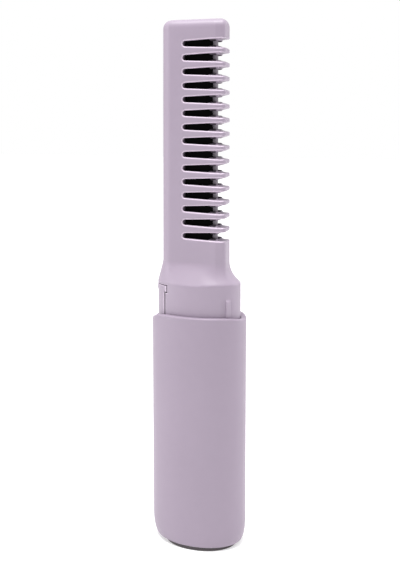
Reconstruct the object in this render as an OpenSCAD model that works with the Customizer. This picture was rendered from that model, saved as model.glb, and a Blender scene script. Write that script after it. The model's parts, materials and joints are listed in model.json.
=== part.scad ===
// Cordless hot comb: a slim heated comb head on an oval battery handle.
// Origin at the centre of the base, +Z up the handle, teeth towards +X,
// power button on the +Y face. Millimetres.

/* [Handle] */
// Width of the handle sleeve, along X
handle_w = 40.6; // [39:0.1:46]
// Depth of the handle sleeve, along Y
handle_d = 24.5; // [24:0.1:28]
// Fullness of the oval section: 2 is an ellipse, more is squarer
fullness = 2.1; // [2:0.05:2.6]
// Length of the handle sleeve
sleeve_len = 97.3; // [95:0.1:106]
// Wall of the handle sleeve
sleeve_wall = 2.3; // [1.8:0.1:2.5]
// Radius of the sleeve's bottom corners, seen from the front
corner_r = 5; // [3.5:0.5:8]
// How far the base cap stands below the sleeve
base_drop = 2.1; // [1.2:0.05:3]
// Half width of the base cap's foot
base_half_w = 15.6; // [15:0.1:17]
// How far the base cap's foot lies inside the sleeve's outline, along Y
base_inset = 0.5; // [0.3:0.1:1.5]

/* [Collar and head] */
// Height of the collar above the sleeve's rim
collar_rise = 13.2; // [11.5:0.1:16]
// Wall of the two comb shells in the collar
shell_wall = 1.5; // [1.2:0.1:1.8]
// Height of the shoulder between the collar and the head
shoulder_len = 8.6; // [7:0.1:14]
// Height of the head above the shoulder
head_len = 99.3; // [98.5:0.1:108]
// Distance from the centre line to the spine of the head
spine_x = 15.5; // [14.8:0.1:16.4]
// Distance from the centre line to the tips of the teeth
tip_x = 12.8; // [12.2:0.1:14]
// Thickness of the head
head_t = 10; // [9.4:0.1:11]
// Radius of the spine's long edges
spine_r = 4.6; // [2:0.1:4.6]
// Width of the bevel along the tips of the teeth
bevel_w = 4; // [3:0.1:4.6]
// Corner radius at the top of the spine
top_spine_r = 3.4; // [2:0.1:6]
// Corner radius at the top of the tooth side
top_tip_r = 2.4; // [1:0.1:4]
// Radius of the top edge, front and back
top_edge_r = 2.4; // [1:0.1:3]
// Wall of the shells over the heater
head_wall = 2; // [1.6:0.1:2.2]

/* [Comb] */
// Number of gaps between the teeth
gap_count = 15; // [10:1:15]
// Distance from one gap to the next
gap_pitch = 5.605; // [5.3:0.005:5.65]
// Distance from the top of the head to the first gap
first_gap = 9.9; // [9:0.1:11]
// Height of a gap at its closed end
gap_root_h = 2.2; // [2:0.1:2.5]
// Height of a gap at the tips of the teeth
gap_tip_h = 3.75; // [3:0.05:4]
// Distance from the centre line to the closed end of the gaps
gap_root_x = 5.75; // [5:0.05:6.5]
// Length of the sloped floor at the closed end of the gaps
gap_ramp = 1.7; // [1:0.1:2.4]
// Rounding of the tooth tips
tooth_tip_r = 0.8; // [0.4:0.1:0.9]

/* [Heater] */
// Half width of the heater towards the spine
heater_back_x = 8.4; // [8:0.1:8.6]
// Edge of the black heat plates towards the teeth
plate_edge_x = 6.5; // [6:0.1:6.8]
// How far the nose guard stands past the heat plates
nose_reach = 2; // [1.4:0.1:2.2]
// How far the fingers of the heat plates reach under the teeth
finger_reach = 2.5; // [2.2:0.1:2.8]
// Thickness of a heat plate
plate_t = 1; // [0.8:0.05:1.1]
// Thickness of an insulation film
film_t = 0.15; // [0.1:0.01:0.2]
// Thickness of an electrode strip
electrode_t = 0.25; // [0.15:0.01:0.3]
// Number of ceramic heating chips
chip_count = 6; // [4:1:7]
// Height of a ceramic heating chip
chip_len = 11; // [9:0.1:11.2]

/* [Battery and boards] */
// Diameter of the battery cell
battery_d = 18.2; // [17:0.1:18.6]
// Length of the battery cell
battery_len = 65; // [60:0.5:65.5]
// Width of the main board
board_w = 23; // [20:0.5:24]
// Thickness of the boards
board_t = 1.2; // [0.8:0.1:1.4]
// Width of the charging socket
socket_w = 8.94; // [8.8:0.02:9.2]
// Depth of the charging socket
socket_d = 3.16; // [3.1:0.02:3.5]
// Height of the charging socket
socket_len = 7.3; // [6.5:0.1:7.4]
// Diameter of the wires
wire_d = 1.2; // [0.8:0.1:1.4]

/* [Button and latch] */
// Diameter of the power button
button_d = 8.8; // [7:0.1:9.4]
// Height of the button's centre below the sleeve's rim
button_below_rim = 6.6; // [6.2:0.1:7.6]
// Travel of the button
button_travel = 0.6; // [0.3:0.1:0.8]
// How far the button's face lies below the sleeve's surface
button_sink = 0.3; // [0.1:0.1:0.8]
// Half width of the latch tongue's stem, along Y
tongue_half_w = 6.55; // [5:0.05:6.6]
// How much wider the tongue's head is on each side
tongue_head_extra = 0.95; // [0.4:0.05:1]
// Height of the tongue's head
tongue_head_h = 3.1; // [2:0.1:4]
// Width of the slit around the tongue
slit = 0.75; // [0.5:0.05:0.9]
// Distance from the collar's top edge to the top of the tongue
tongue_below_edge = 1.4; // [0.9:0.1:2]
// How far the tongue's bead stands out
bead_h = 0.35; // [0.2:0.05:0.6]
// Depth of the tongue's root below the sleeve's rim
tongue_root = 5.6; // [4.5:0.1:6]
// How far the guide ribs stand out of the collar
rib_h = 0.45; // [0.2:0.05:0.8]
// Distance from the centre line to the middle of the guide ribs
rib_x = 14.2; // [12:0.1:14.6]
// Width of the guide ribs
rib_w = 1.8; // [1:0.1:3]
// Distance from the collar's top edge to the top of the guide ribs
rib_below_edge = 6.3; // [4:0.1:8]

/* [Fits and fasteners] */
// Clearance between the collar and the sleeve
sleeve_fit = 0.15; // [0.1:0.05:0.3]
// Clearance around the parts that move
move_gap = 0.3; // [0.25:0.05:0.4]
// Clearance between parts that are stacked or slid together
stack_gap = 0.05; // [0.02:0.01:0.1]
// Shaft diameter of the screws
screw_d = 2; // [1.6:0.1:2.2]
// Head diameter of the screws
screw_head_d = 3.6; // [3:0.1:3.8]
// Head height of the screws
screw_head_h = 1.3; // [1:0.1:1.5]

/* [Hidden] */

round_n = 64;                 // facets of a round hole or shaft
corner_steps = 9;             // rings in the sleeve's bottom corners
shoulder_steps = 8;           // rings in the shoulder
big = 60;                     // longer than any cut through the handle
eps = 0.01;
over = 1;                     // how far a cut runs past a face
hole_gap = 0.1;               // radial clearance of a screw's shaft in a plain hole
head_gap = 0.15;              // radial clearance around a screw's head
head_sink = 0.2;              // depth of a screw's head below the face around it

// Heights, from the base through the battery to the head
sleeve_z = base_drop;
floor_z = sleeve_z + sleeve_wall;
socket_z = base_drop/3;
charge_z = socket_z + socket_len;
solder_room = 0.3;
cradle_z = charge_z + board_t + solder_room;
cradle_floor = 1.1;
tab_t = 0.25;
cell_z = cradle_z + cradle_floor + tab_t + stack_gap;
cell_top = cell_z + battery_len;
cell_room = 0.3;
cradle_top_z = cell_top + tab_t + cell_room;
cradle_lid = 1.3;
shell_z = cradle_top_z + cradle_lid + stack_gap;
rim_z = sleeve_z + sleeve_len;
collar_z = rim_z + collar_rise;
head_z = collar_z + shoulder_len;
top_z = head_z + head_len;

// Half sizes of the oval sections
cell_r = battery_d/2;
out_a = handle_w/2;
out_b = handle_d/2;
in_a = out_a - sleeve_wall;
in_b = out_b - sleeve_wall;
col_a = in_a - sleeve_fit;
col_b = in_b - sleeve_fit;
cav_a = col_a - shell_wall;
cav_b = col_b - shell_wall;
half_t = head_t/2;
cav_t = half_t - head_wall;   // half depth of the heater's cavity
tip_r = 0.9;                  // long edges of the tooth tips
tip_y = half_t - 3.2;
head_mid = (tip_x - spine_x)/2;
head_half_w = (tip_x + spine_x)/2;

can_r = cell_r - 0.15;
nipple_h = 1;

// Base cap, charging socket and charge light
plug_a = base_half_w - 2.4;
plug_b = in_b - 0.6;
plug_top = floor_z + 0.4;
socket_gap = 0.25;
socket_wall = 0.3;
socket_back = 0.8;
light_y = 4.6;
light_r = 0.9;
light_under = charge_z - 0.6; // underside of the light's chip
base_screw_grip = 5;

// Cradle: openings, ears for the shell screws, and the ways of the leads
cell_fit = 0.2;
cradle_open = cell_r - 0.9;
ear_half_w = 2;
ear_half_t = 1.3;
window_x0 = cell_r + 2.1;
window_x1 = in_a - 2.6;
window_z0 = cradle_z + 8.5;
window_count = 3;
window_bar = 2;
window_step = (cradle_top_z - window_z0 - 1.5)/window_count;
lead_x = in_a - 5.6;
lead_y = -3.4;
lead_slot = 2.2;
lead_pitch = 1.4;             // between two leads laid side by side
lead_in_x = board_w/2 - 3.3;  // where the outer leads meet the main board
lead_step = 2.8;              // from there to the next lead
charge_lead_x = lead_x - 0.2;
lead_turn_z = shell_z + 1.1;
lead_end_z = lead_turn_z + 5.4;
pad_half_w = 2.5;
pad_end = 18;
pad_t = 0.6;                  // foam pads between the cell and the sleeve

// Main board and button, stacked along Y
board_z = shell_z + 1;
board_top = collar_z - 2;
button_z = rim_z - button_below_rim;
button_r = button_d/2;
button_face = out_b - button_sink;
flange_r = button_r + 1.1;
seal_gap = 0.45;
nub_r = 1.6;
dish_r = 30;
dish_h = 0.25;
switch_w = 6;
switch_h = 2.4;
switch_floor = 0.4;
plunger_r = 1.2;
plunger_fit = 0.07;
plunger_rise = 0.35;
nub_len = 0.85;
flange_y = cav_b - 1.85;
flange_t = 0.8;
plunger_top = flange_y - nub_len;
board_back = plunger_top - plunger_rise - button_travel - switch_h - stack_gap;
board_y = board_back - board_t;
led_z = button_z - flange_r - 2.1;
led_step = 3;
pipe_r = 0.8;
pipe_end = out_b - 0.25;
led_h = 0.7;
led_half_w = 0.8;
led_half_h = 0.6;
notch_gap = 0.5;

// Screws
screw_r = screw_d/2;
head_r = screw_head_d/2;
pilot_gap = 0.03;
pilot_spare = 0.3;            // how far a pilot bore runs past its screw
boss_r = screw_r + 1.1;
recess_half_w = 0.25;
recess_h = 0.7;
base_screw_x = base_half_w - 4.8;
shell_screw_x = in_a - 5.4;
shell_screw_z = shell_z + 4.2;
board_screw_x = board_w/2 - 5;
board_screw_z = board_top - 3;

// Latch tongue
tongue_z = rim_z - tongue_root;
tongue_top = collar_z - tongue_below_edge;
tongue_in_x = -col_a + 7.4;
tongue_sink = 0.15;

// Seat of the shell screws' heads, sunk below the collar's surface
shell_head_y = oval_y(col_a, col_b, shell_screw_x + head_r) - screw_head_h - 0.3;
shell_screw_end = 4.8;
board_screw_grip = 3.6;

// Heater stack, from the middle plane outwards
chip_half = cav_t - plate_t - film_t - electrode_t - 4*stack_gap;
electrode_y = chip_half + stack_gap;
film_y = electrode_y + electrode_t + stack_gap;
plate_y = film_y + film_t + stack_gap;
carrier_half = plate_y - stack_gap;
gap_top_z = top_z - first_gap;
gap_low_z = gap_top_z - (gap_count - 1)*gap_pitch;
heater_over = 0.6;            // heater past the last gaps, beyond half a pitch
heater_z0 = gap_low_z - gap_pitch/2 - heater_over;
heater_z1 = gap_top_z + gap_pitch/2 + heater_over;
nose_x = plate_edge_x + nose_reach;
nose_back_x = plate_edge_x - 2.4;
finger_x = plate_edge_x + finger_reach;
cavity_x = finger_x + 0.25;
cavity_top = heater_z1 + 0.3;
heater_rib = 1.2;
rib_gap = 0.1;
ledge_h = 1.4;
ledge_gap = 0.2;
finger_gap = 0.1;
chip_x0 = -heater_back_x + 3.6;
chip_x1 = nose_back_x - 1;
chip_margin = 3;
chip_room = (heater_z1 - heater_z0 - 2*chip_margin)/chip_count;
strip_x0 = chip_x0 - 0.3;
strip_x1 = chip_x1 + 0.3;
strip_gap = 0.25;
electrode_end = 1.5;
tail_x0 = -2;
tail_x1 = 0;
tail_z = heater_z0 - 4;
film_over = 0.15;
bead_x = -heater_back_x + 1.6;
bead_z = (heater_z0 + heater_z1)/2;
bead_r = 0.8;
fuse_r = 1;
fuse_len = 6;
fuse_x = -1;
fuse_z = tail_z - 7.5;
wire_r = wire_d/2;
sensor_wire_r = 0.45;
lead_back_y = electrode_y - wire_r - 0.02;
lead_joint_z = tail_z + 3;
lead_foot = board_top - 4;    // heater and sensor leads: on the board,
lead_clear = board_top + 1;   // past its top edge,
lead_cross = board_top + 4;   // and over to the heater's side

// ---- Outlines ----

function oval_point(a, b, t) =
    [a*sign(cos(t))*pow(abs(cos(t)), 2/fullness), b*sign(sin(t))*pow(abs(sin(t)), 2/fullness)];

// Half depth of an oval at a distance x from its middle
function oval_y(a, b, x) = b*pow(1 - pow(x/a, fullness), 1/fullness);

function oval(a, b, steps = 72) = [for (i = [0:steps - 1]) oval_point(a, b, 360*i/steps)];

function arc(x, y, r, from, to, steps) =
    [for (i = [0:steps]) let (t = from + (to - from)*i/steps) [x + r*cos(t), y + r*sin(t)]];

// Points from p towards q, without q itself
function along(p, q, steps) = [for (i = [1:steps - 1]) p + (q - p)*i/steps];

// Outline of the head: round spine, flat faces and bevelled tooth tips
function head_half(side) =
    concat(arc(tip_x - tip_r, side*tip_y, tip_r, 0, side*75, 3),
        along([tip_x - tip_r, side*(tip_y + tip_r)], [tip_x - bevel_w, side*half_t], 3),
        [[tip_x - bevel_w, side*half_t]],
        along([tip_x - bevel_w, side*half_t], [-spine_x + spine_r, side*half_t], 10),
        arc(-spine_x + spine_r, side*(half_t - spine_r), spine_r, side*90, side*180, 6));

function reversed(list) = [for (i = [len(list) - 1:-1:0]) list[i]];

head_outline = concat(reversed(head_half(-1)), along([tip_x, -tip_y], [tip_x, tip_y], 7),
    head_half(1));

// The point of an oval that lies in the same direction as a point of the head
function oval_match(p, a, b) = oval_point(a, b, atan2(p[1]/half_t, (p[0] - head_mid)/head_half_w));

// The shoulder leaves the collar at an edge and runs smoothly into the head
function flare(u) = 1 - pow(1 - u, 2);

// One ring of the shoulder: the spine side runs straight, the rest flares
function shoulder_ring(u, a, b, wall) =
    [for (p = head_outline)
        let (o = oval_match(p, a, b),
            h = [head_mid + (p[0] - head_mid)*(head_half_w - wall)/head_half_w,
                p[1]*(half_t - wall)/half_t],
            spine = max(0, -o[0]/a),
            fx = flare(u)*(1 - spine) + u*spine)
        [o[0] + (h[0] - o[0])*fx, o[1] + (h[1] - o[1])*flare(u)]];

// A solid through rings of equal point count, from bottom to top
module loft(rings, heights) {
    n = len(rings[0]);
    m = len(rings);
    points = [for (k = [0:m - 1], p = rings[k]) [p[0], p[1], heights[k]]];
    sides = [for (k = [0:m - 2], i = [0:n - 1])
        let (j = (i + 1) % n) [k*n + i, k*n + n + i, k*n + n + j, k*n + j]];
    bottom = [[for (i = [0:n - 1]) i]];
    lid = [[for (i = [n - 1:-1:0]) (m - 1)*n + i]];
    polyhedron(points, concat(sides, bottom, lid), convexity = 6);
}

// A rod along Y, from y0 to y1
module rod_y(x, z, r, y0, y1) {
    translate([x, y0, z]) rotate([-90, 0, 0]) cylinder(h = y1 - y0, r = r, $fn = round_n);
}

// A rod along Z, from z0 to z1
module rod_z(x, y, r, z0, z1) {
    translate([x, y, z0]) cylinder(h = z1 - z0, r = r, $fn = round_n);
}

// A box from its lowest to its highest corner
module box(low, high) {
    translate(low) cube(high - low);
}

// An outline drawn in X and Z, made solid from y0 to y1
module solid_xz(y0, y1) {
    translate([0, y1, 0]) rotate([90, 0, 0]) linear_extrude(y1 - y0) children();
}

// An outline drawn in Y and Z, made solid from x0 to x1
module solid_yz(x0, x1) {
    translate([x0, 0, 0]) rotate([90, 0, 90]) linear_extrude(x1 - x0) children();
}

// A wire through a list of points, with round bends
module wire(points, r = wire_r) {
    for (i = [0:len(points) - 2]) {
        p = points[i];
        q = points[i + 1];
        d = q - p;
        len_d = norm(d);
        translate(p)
            rotate([0, acos(d[2]/len_d), atan2(d[1], d[0])])
                cylinder(h = len_d, r = r, $fn = 16);
        if (i > 0) translate(p) sphere(r = r*1.05, $fn = 16);
    }
}

// A pan-head screw along +Z, its head's face at the origin
module screw(length) {
    cylinder(h = screw_head_h, r = head_r, $fn = round_n);
    cylinder(h = length, r = screw_r, $fn = round_n);
}

// Cross-shaped recess in a screw's head
module screw_recess() {
    arm = head_r*0.55;
    box([-arm, -recess_half_w, -eps], [arm, recess_half_w, recess_h]);
    box([-recess_half_w, -arm, -eps], [recess_half_w, arm, recess_h]);
}

// ---- Handle ----

// Oval tube body, open upwards; its bottom corners are round when seen from the front
module sleeve_body(a, b, low, high, r) {
    turns = [for (i = [0:corner_steps]) 90*i/corner_steps];
    loft(concat([for (t = turns) oval(a - r + r*sin(t), b)], [oval(a, b)]),
        concat([for (t = turns) low + r - r*cos(t)], [high]));
}

module handle_sleeve() {
    color([0.72, 0.66, 0.73]) difference() {
        sleeve_body(out_a, out_b, sleeve_z, rim_z, corner_r);
        sleeve_body(in_a, in_b, floor_z, rim_z + over, corner_r - sleeve_wall);
        translate([0, 0, sleeve_z - over]) linear_extrude(sleeve_wall + 2*over)
            polygon(oval(plug_a + stack_gap, plug_b + stack_gap));
        rod_y(0, button_z, button_r + move_gap, 0, big);
        for (i = [-1:1]) rod_y(i*led_step, led_z, pipe_r + stack_gap, 0, big);
    }
}

module base_cap() {
    color([0.36, 0.32, 0.36]) difference() {
        union() {
            linear_extrude(base_drop - stack_gap) polygon(oval(base_half_w, out_b - base_inset));
            linear_extrude(plug_top) polygon(oval(plug_a, plug_b));
            for (side = [-1, 1]) rod_z(side*base_screw_x, 0, boss_r, 0, charge_z - stack_gap);
        }
        socket_hole(socket_gap, -over, big);
        for (side = [-1, 1]) {
            rod_z(side*base_screw_x, 0, screw_r + hole_gap, -over, big);
            rod_z(side*base_screw_x, 0, head_r + head_gap, -over, screw_head_h + head_sink);
        }
        rod_z(0, light_y, light_r + stack_gap, -over, big);
    }
}

// Round-ended outline of the charging socket, grown by a gap
module socket_hole(gap, z0, z1) {
    r = socket_d/2 + gap;
    x = socket_w/2 - socket_d/2;
    for (side = [-1, 1]) rod_z(side*x, 0, r, z0, z1);
    box([-x, -r, z0], [x, r, z1]);
}

module base_screws() {
    color("silver") for (side = [-1, 1]) translate([side*base_screw_x, 0, head_sink])
        difference() {
            screw(cradle_z + base_screw_grip);
            screw_recess();
        }
}

module usb_shell() {
    color("silver") difference() {
        socket_hole(0, socket_z, charge_z - stack_gap);
        socket_hole(-socket_wall, socket_z - over, charge_z - socket_back);
    }
}

module usb_tongue() {
    half_w = 3.3;
    half_d = 0.35;
    depth = 0.9;
    color([0.1, 0.1, 0.1])
        box([-half_w, -half_d, socket_z + depth], [half_w, half_d, charge_z - socket_back - stack_gap]);
}

module charge_board() {
    half_w = 12.4;
    half_d = 6.4;
    color([0.1, 0.35, 0.2]) difference() {
        box([-half_w, -half_d, charge_z], [half_w, half_d, charge_z + board_t]);
        for (side = [-1, 1]) rod_z(side*base_screw_x, 0, screw_r + hole_gap, 0, big);
    }
}

// A flat part under the charging board: left, near side, width, depth, underside
module under_board(x, y, w, d, z) {
    box([x, y, z], [x + w, y + d, charge_z - stack_gap]);
}

module charge_parts() {
    color([0.12, 0.12, 0.13]) {
        under_board(-7.4, 3, 3.4, 2.6, charge_z - 0.95);
        under_board(4, 3.2, 2, 1.4, charge_z - 0.65);
        under_board(-6, -4.8, 3.6, 1.8, charge_z - 0.75);
        under_board(-led_half_w, light_y - led_half_h, 2*led_half_w, 2*led_half_h, light_under);
    }
}

module charge_light() {
    light_sink = 0.25;
    light_flange = 0.8;
    color([0.9, 0.9, 0.92]) {
        rod_z(0, light_y, light_r, light_sink, light_under - stack_gap);
        rod_z(0, light_y, light_r + 0.6, plug_top + stack_gap, plug_top + light_flange);
    }
}

// ---- Battery ----

module battery_cradle() {
    color([0.85, 0.85, 0.83]) difference() {
        union() {
            intersection() {
                sleeve_body(in_a - move_gap, in_b - move_gap, floor_z + move_gap, rim_z,
                    corner_r - sleeve_wall);
                box([-big, -big, cradle_z], [big, big, cradle_top_z + cradle_lid]);
            }
            for (side = [-1, 1])
                box([side*shell_screw_x - ear_half_w, -ear_half_t, cradle_top_z],
                    [side*shell_screw_x + ear_half_w, ear_half_t, shell_screw_z + ear_half_w]);
        }
        // Open middle for the cell
        rod_z(0, 0, cell_r + cell_fit, cradle_z + cradle_floor, cradle_top_z);
        box([-cradle_open, -big, cradle_z + cradle_floor], [cradle_open, big, cradle_top_z]);
        // Windows in the side rails
        for (side = [-1, 1], i = [0:window_count - 1])
            box([min(side*window_x0, side*window_x1), -big, window_z0 + i*window_step],
                [max(side*window_x0, side*window_x1), big, window_z0 + (i + 1)*window_step - window_bar]);
        // Ways for the leads
        for (side = [-1, 1])
            box([side*lead_x - lead_slot/2, lead_y - 2.6, 0],
                [side*lead_x + lead_slot/2, lead_y + 1.1, big*2]);
        box([-5, -3.5, cradle_top_z - eps], [5, 0.4, cradle_top_z + cradle_lid + eps]);
        // Notch for the lower tab
        box([-lead_x - 1, -4.8, cradle_z + cradle_floor], [0, -2, cell_z + 0.3]);
        for (side = [-1, 1]) {
            rod_z(side*base_screw_x, 0, screw_r + pilot_gap, 0,
                cradle_z + base_screw_grip + over);
            rod_y(side*shell_screw_x, shell_screw_z, screw_r + hole_gap, -big, big);
        }
    }
}

module battery_cell() {
    color([0.75, 0.76, 0.78])
        rod_z(0, 0, can_r, cell_z, cell_top - nipple_h - stack_gap);
}

module battery_wrap() {
    color([0.15, 0.35, 0.6]) difference() {
        rod_z(0, 0, cell_r, cell_z + 0.4, cell_top - nipple_h - 0.4);
        rod_z(0, 0, can_r + 0.02, cell_z, cell_top);
    }
}

module battery_terminal() {
    color([0.8, 0.8, 0.82]) {
        rod_z(0, 0, 2.8, cell_top - nipple_h, cell_top);
        rod_z(0, 0, 6.5, cell_top - nipple_h, cell_top - nipple_h + 0.3);
    }
}

module battery_tab_top() {
    color([0.8, 0.78, 0.7])
        box([-4, -2.5, cell_top + stack_gap], [4, 2.5, cell_top + stack_gap + tab_t]);
}

module battery_tab_bottom() {
    z = cell_z - stack_gap - tab_t;
    color([0.8, 0.78, 0.7]) {
        box([-6, -4.5, z], [6, 4.5, z + tab_t]);
        box([-lead_x - 0.8, -4.5, z], [-5, -2.2, z + tab_t]);
    }
}

module battery_pads() {
    color([0.2, 0.2, 0.2]) for (side = [-1, 1])
        strip(side, cell_r + stack_gap, pad_t, -pad_half_w, pad_half_w,
            cell_z + pad_end, cell_top - pad_end);
}

module battery_leads() {
    z = lead_turn_z;
    x = -lead_in_x;
    top_x = -3;
    color([0.7, 0.1, 0.1]) {
        wire([[-lead_x, lead_y, cell_z - stack_gap], [-lead_x, lead_y, z], [x, lead_y, z],
            [x, lead_y, lead_end_z], [x, board_y - wire_r, lead_end_z]]);
        wire([[top_x, -lead_pitch, cell_top + stack_gap + tab_t], [top_x, -lead_pitch, lead_end_z],
            [top_x, board_y - wire_r, lead_end_z]]);
    }
}

module charge_leads() {
    z = lead_turn_z;
    color([0.1, 0.1, 0.1]) for (i = [0:1]) {
        x = lead_in_x - i*lead_step;
        y = lead_y - i*lead_pitch;
        wire([[charge_lead_x, y, charge_z + board_t], [charge_lead_x, y, z], [x, y, z],
            [x, y, lead_end_z], [x, board_y - wire_r, lead_end_z]]);
    }
}

// ---- Comb shells ----

// Outer form of both shells: collar, shoulder and head, whose foot stands inside the shoulder
module comb_outer() {
    foot_z = head_z - over;
    u = [for (i = [0:shoulder_steps]) i/shoulder_steps];
    loft(concat([shoulder_ring(0, col_a, col_b, 0)], [for (s = u) shoulder_ring(s, col_a, col_b, 0)]),
        concat([shell_z], [for (s = u) collar_z + s*shoulder_len]));
    intersection() {
        translate([0, 0, foot_z]) linear_extrude(top_z - foot_z) polygon(head_outline);
        solid_xz(-big, big) polygon(concat([[-spine_x - eps, foot_z], [tip_x + eps, foot_z]],
            arc(tip_x - top_tip_r + eps, top_z - top_tip_r, top_tip_r, 0, 90, 8),
            arc(-spine_x + top_spine_r - eps, top_z - top_spine_r, top_spine_r, 90, 180, 8)));
        solid_yz(-big, big) polygon(concat([[-half_t - eps, foot_z], [half_t + eps, foot_z]],
            arc(half_t - top_edge_r + eps, top_z - top_edge_r, top_edge_r, 0, 90, 8),
            arc(-half_t + top_edge_r - eps, top_z - top_edge_r, top_edge_r, 90, 180, 8)));
    }
}

// Hollow inside both shells
module comb_hollow() {
    u = [for (i = [0:shoulder_steps]) i/shoulder_steps];
    wall_b = shell_wall*1.2;
    loft(concat([shoulder_ring(0, cav_a, cav_b, head_wall)],
            [for (s = u) shoulder_ring(s, cav_a, cav_b, head_wall)]),
        concat([shell_z - 1], [for (s = u) collar_z - wall_b + s*(shoulder_len + wall_b)]));
    box([-spine_x + head_wall + 0.2, -cav_t, head_z - over], [cavity_x, cav_t, cavity_top]);
}

// Closed root, straight flanks and rounded mouth of one gap, in X and Z
module gap_outline() {
    root = gap_root_h/2;
    mouth = gap_tip_h/2;
    x_end = tip_x - tooth_tip_r;
    polygon(concat(arc(-gap_root_x + root, 0, root, 90, 270, 8),
        arc(x_end, -mouth - tooth_tip_r, tooth_tip_r, 90, 0, 4),
        [[tip_x + 2, -mouth - tooth_tip_r], [tip_x + 2, mouth + tooth_tip_r]],
        arc(x_end, mouth + tooth_tip_r, tooth_tip_r, 0, -90, 4)));
}

// All the gaps on one face; the floor slopes in at the closed end
module gaps(side) {
    y0 = side*(half_t + 1);
    y1 = side*half_t;
    y2 = side*cav_t;
    intersection() {
        for (i = [0:gap_count - 1]) translate([0, 0, gap_top_z - i*gap_pitch])
            solid_xz(-big, big) gap_outline();
        translate([0, 0, head_z]) linear_extrude(head_len)
            polygon([[-gap_root_x - 1, y0], [tip_x + 3, y0], [tip_x + 3, -side*1],
                [-gap_root_x + gap_ramp, -side*1], [-gap_root_x + gap_ramp, y2], [-gap_root_x, y1]]);
    }
}

// Outline of the latch tongue in Y and Z, grown by a gap
module tongue_outline(gap) {
    w = tongue_half_w + gap;
    h = w + tongue_head_extra;
    z = tongue_top - tongue_head_h - gap;
    polygon([[-w, tongue_z - gap/2], [w, tongue_z - gap/2], [w, z], [h, z], [h, tongue_top + gap],
        [-h, tongue_top + gap], [-h, z], [-w, z]]);
}

module guide_rib(side) {
    difference() {
        translate([0, 0, rim_z + 0.1]) linear_extrude(collar_rise - rib_below_edge - 0.1)
            polygon(oval(col_a + rib_h, col_b + rib_h));
        translate([0, 0, rim_z]) linear_extrude(collar_rise) polygon(oval(col_a - 0.5, col_b - 0.5));
        box([-big, -big, 0], [rib_x - rib_w/2, big, big*4]);
        box([rib_x + rib_w/2, -big, 0], [big, big, big*4]);
        box([-big, min(-side*big, 0), 0], [big, max(-side*big, 0), big*4]);
    }
}

// One half of the comb: side -1 is the front shell, side 1 the back shell
module comb_shell(side) {
    difference() {
        union() {
            difference() {
                comb_outer();
                comb_hollow();
            }
            guide_rib(side);
            intersection() {
                comb_outer();
                union() {
                    for (s = [-1, 1]) rod_y(s*shell_screw_x, shell_screw_z, boss_r,
                        side > 0 ? ear_half_t + stack_gap : -big,
                        side > 0 ? big : -ear_half_t - stack_gap);
                    if (side > 0) for (s = [-1, 1])
                        rod_y(s*board_screw_x, board_screw_z, boss_r, board_back, big);
                }
            }
            // Rib behind the heater, and the ledge under its nose
            box([-heater_back_x - rib_gap - heater_rib, -cav_t, heater_z0],
                [-heater_back_x - rib_gap, cav_t, heater_z1]);
            box([nose_back_x, -cav_t, heater_z0 - ledge_gap - ledge_h],
                [cavity_x, cav_t, heater_z0 - ledge_gap]);
        }
        // The other half
        box([-big, side > 0 ? -big : -stack_gap/2, 0], [big, side > 0 ? stack_gap/2 : big, big*5]);
        gaps(side);
        solid_yz(-big, tongue_in_x + 1.5) tongue_outline(slit);
        for (s = [-1, 1]) {
            rod_y(s*shell_screw_x, shell_screw_z, screw_r + (side > 0 ? hole_gap : pilot_gap),
                side > 0 ? 0 : -shell_screw_end - pilot_spare, big);
            if (side > 0) {
                rod_y(s*shell_screw_x, shell_screw_z, head_r + head_gap, shell_head_y - eps, big);
                rod_y(s*board_screw_x, board_screw_z, screw_r + pilot_gap, 0,
                    board_back + board_screw_grip + pilot_spare);
            }
        }
        if (side > 0) {
            rod_y(0, button_z, button_r + move_gap, 0, big);
            for (i = [-1:1]) rod_y(i*led_step, led_z, pipe_r + stack_gap, 0, big);
        }
    }
}

module comb_front_shell() {
    color([0.72, 0.66, 0.73]) comb_shell(-1);
}

module comb_back_shell() {
    color([0.72, 0.66, 0.73]) comb_shell(1);
}

module shell_screws() {
    color("silver") for (side = [-1, 1])
        translate([side*shell_screw_x, shell_head_y + screw_head_h, shell_screw_z])
            rotate([90, 0, 0]) difference() {
                screw(shell_head_y + screw_head_h + shell_screw_end);
                screw_recess();
            }
}

module cap_latch() {
    color([0.72, 0.66, 0.73]) difference() {
        intersection() {
            union() {
                translate([0, 0, tongue_z]) linear_extrude(tongue_top - tongue_z)
                    polygon(oval(col_a - tongue_sink, col_b - tongue_sink));
                translate([0, 0, tongue_top - tongue_head_h]) linear_extrude(tongue_head_h)
                    polygon(oval(col_a + bead_h, col_b + bead_h));
            }
            solid_yz(-big, tongue_in_x) tongue_outline(0);
        }
        translate([0, 0, tongue_z - 1]) linear_extrude(tongue_top - tongue_z + 2)
            polygon(oval(cav_a, cav_b));
    }
}

// ---- Main board ----

module main_board() {
    notch_z = shell_screw_z + boss_r + notch_gap;
    notch_x = shell_screw_x - boss_r - notch_gap;
    color([0.1, 0.35, 0.2]) difference() {
        union() {
            box([-board_w/2, board_y, notch_z], [board_w/2, board_back, board_top]);
            box([-notch_x, board_y, board_z], [notch_x, board_back, notch_z + eps]);
        }
        for (side = [-1, 1]) rod_y(side*board_screw_x, board_screw_z, screw_r + hole_gap, 0, big);
    }
}

module board_screws() {
    color("silver") for (side = [-1, 1])
        translate([side*board_screw_x, board_y - screw_head_h - 0.02, board_screw_z])
            rotate([-90, 0, 0]) difference() {
                screw(screw_head_h + board_t + board_screw_grip);
                screw_recess();
            }
}

// A flat part on the front of the main board: left, bottom, width, height, thickness
module board_part(x, z, w, h, t) {
    box([x, board_y - t, z], [x + w, board_y, z + h]);
}

module control_chip() {
    color([0.1, 0.1, 0.11]) board_part(-3, board_top - 12.5, 6, 6, 0.9);
}

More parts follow.
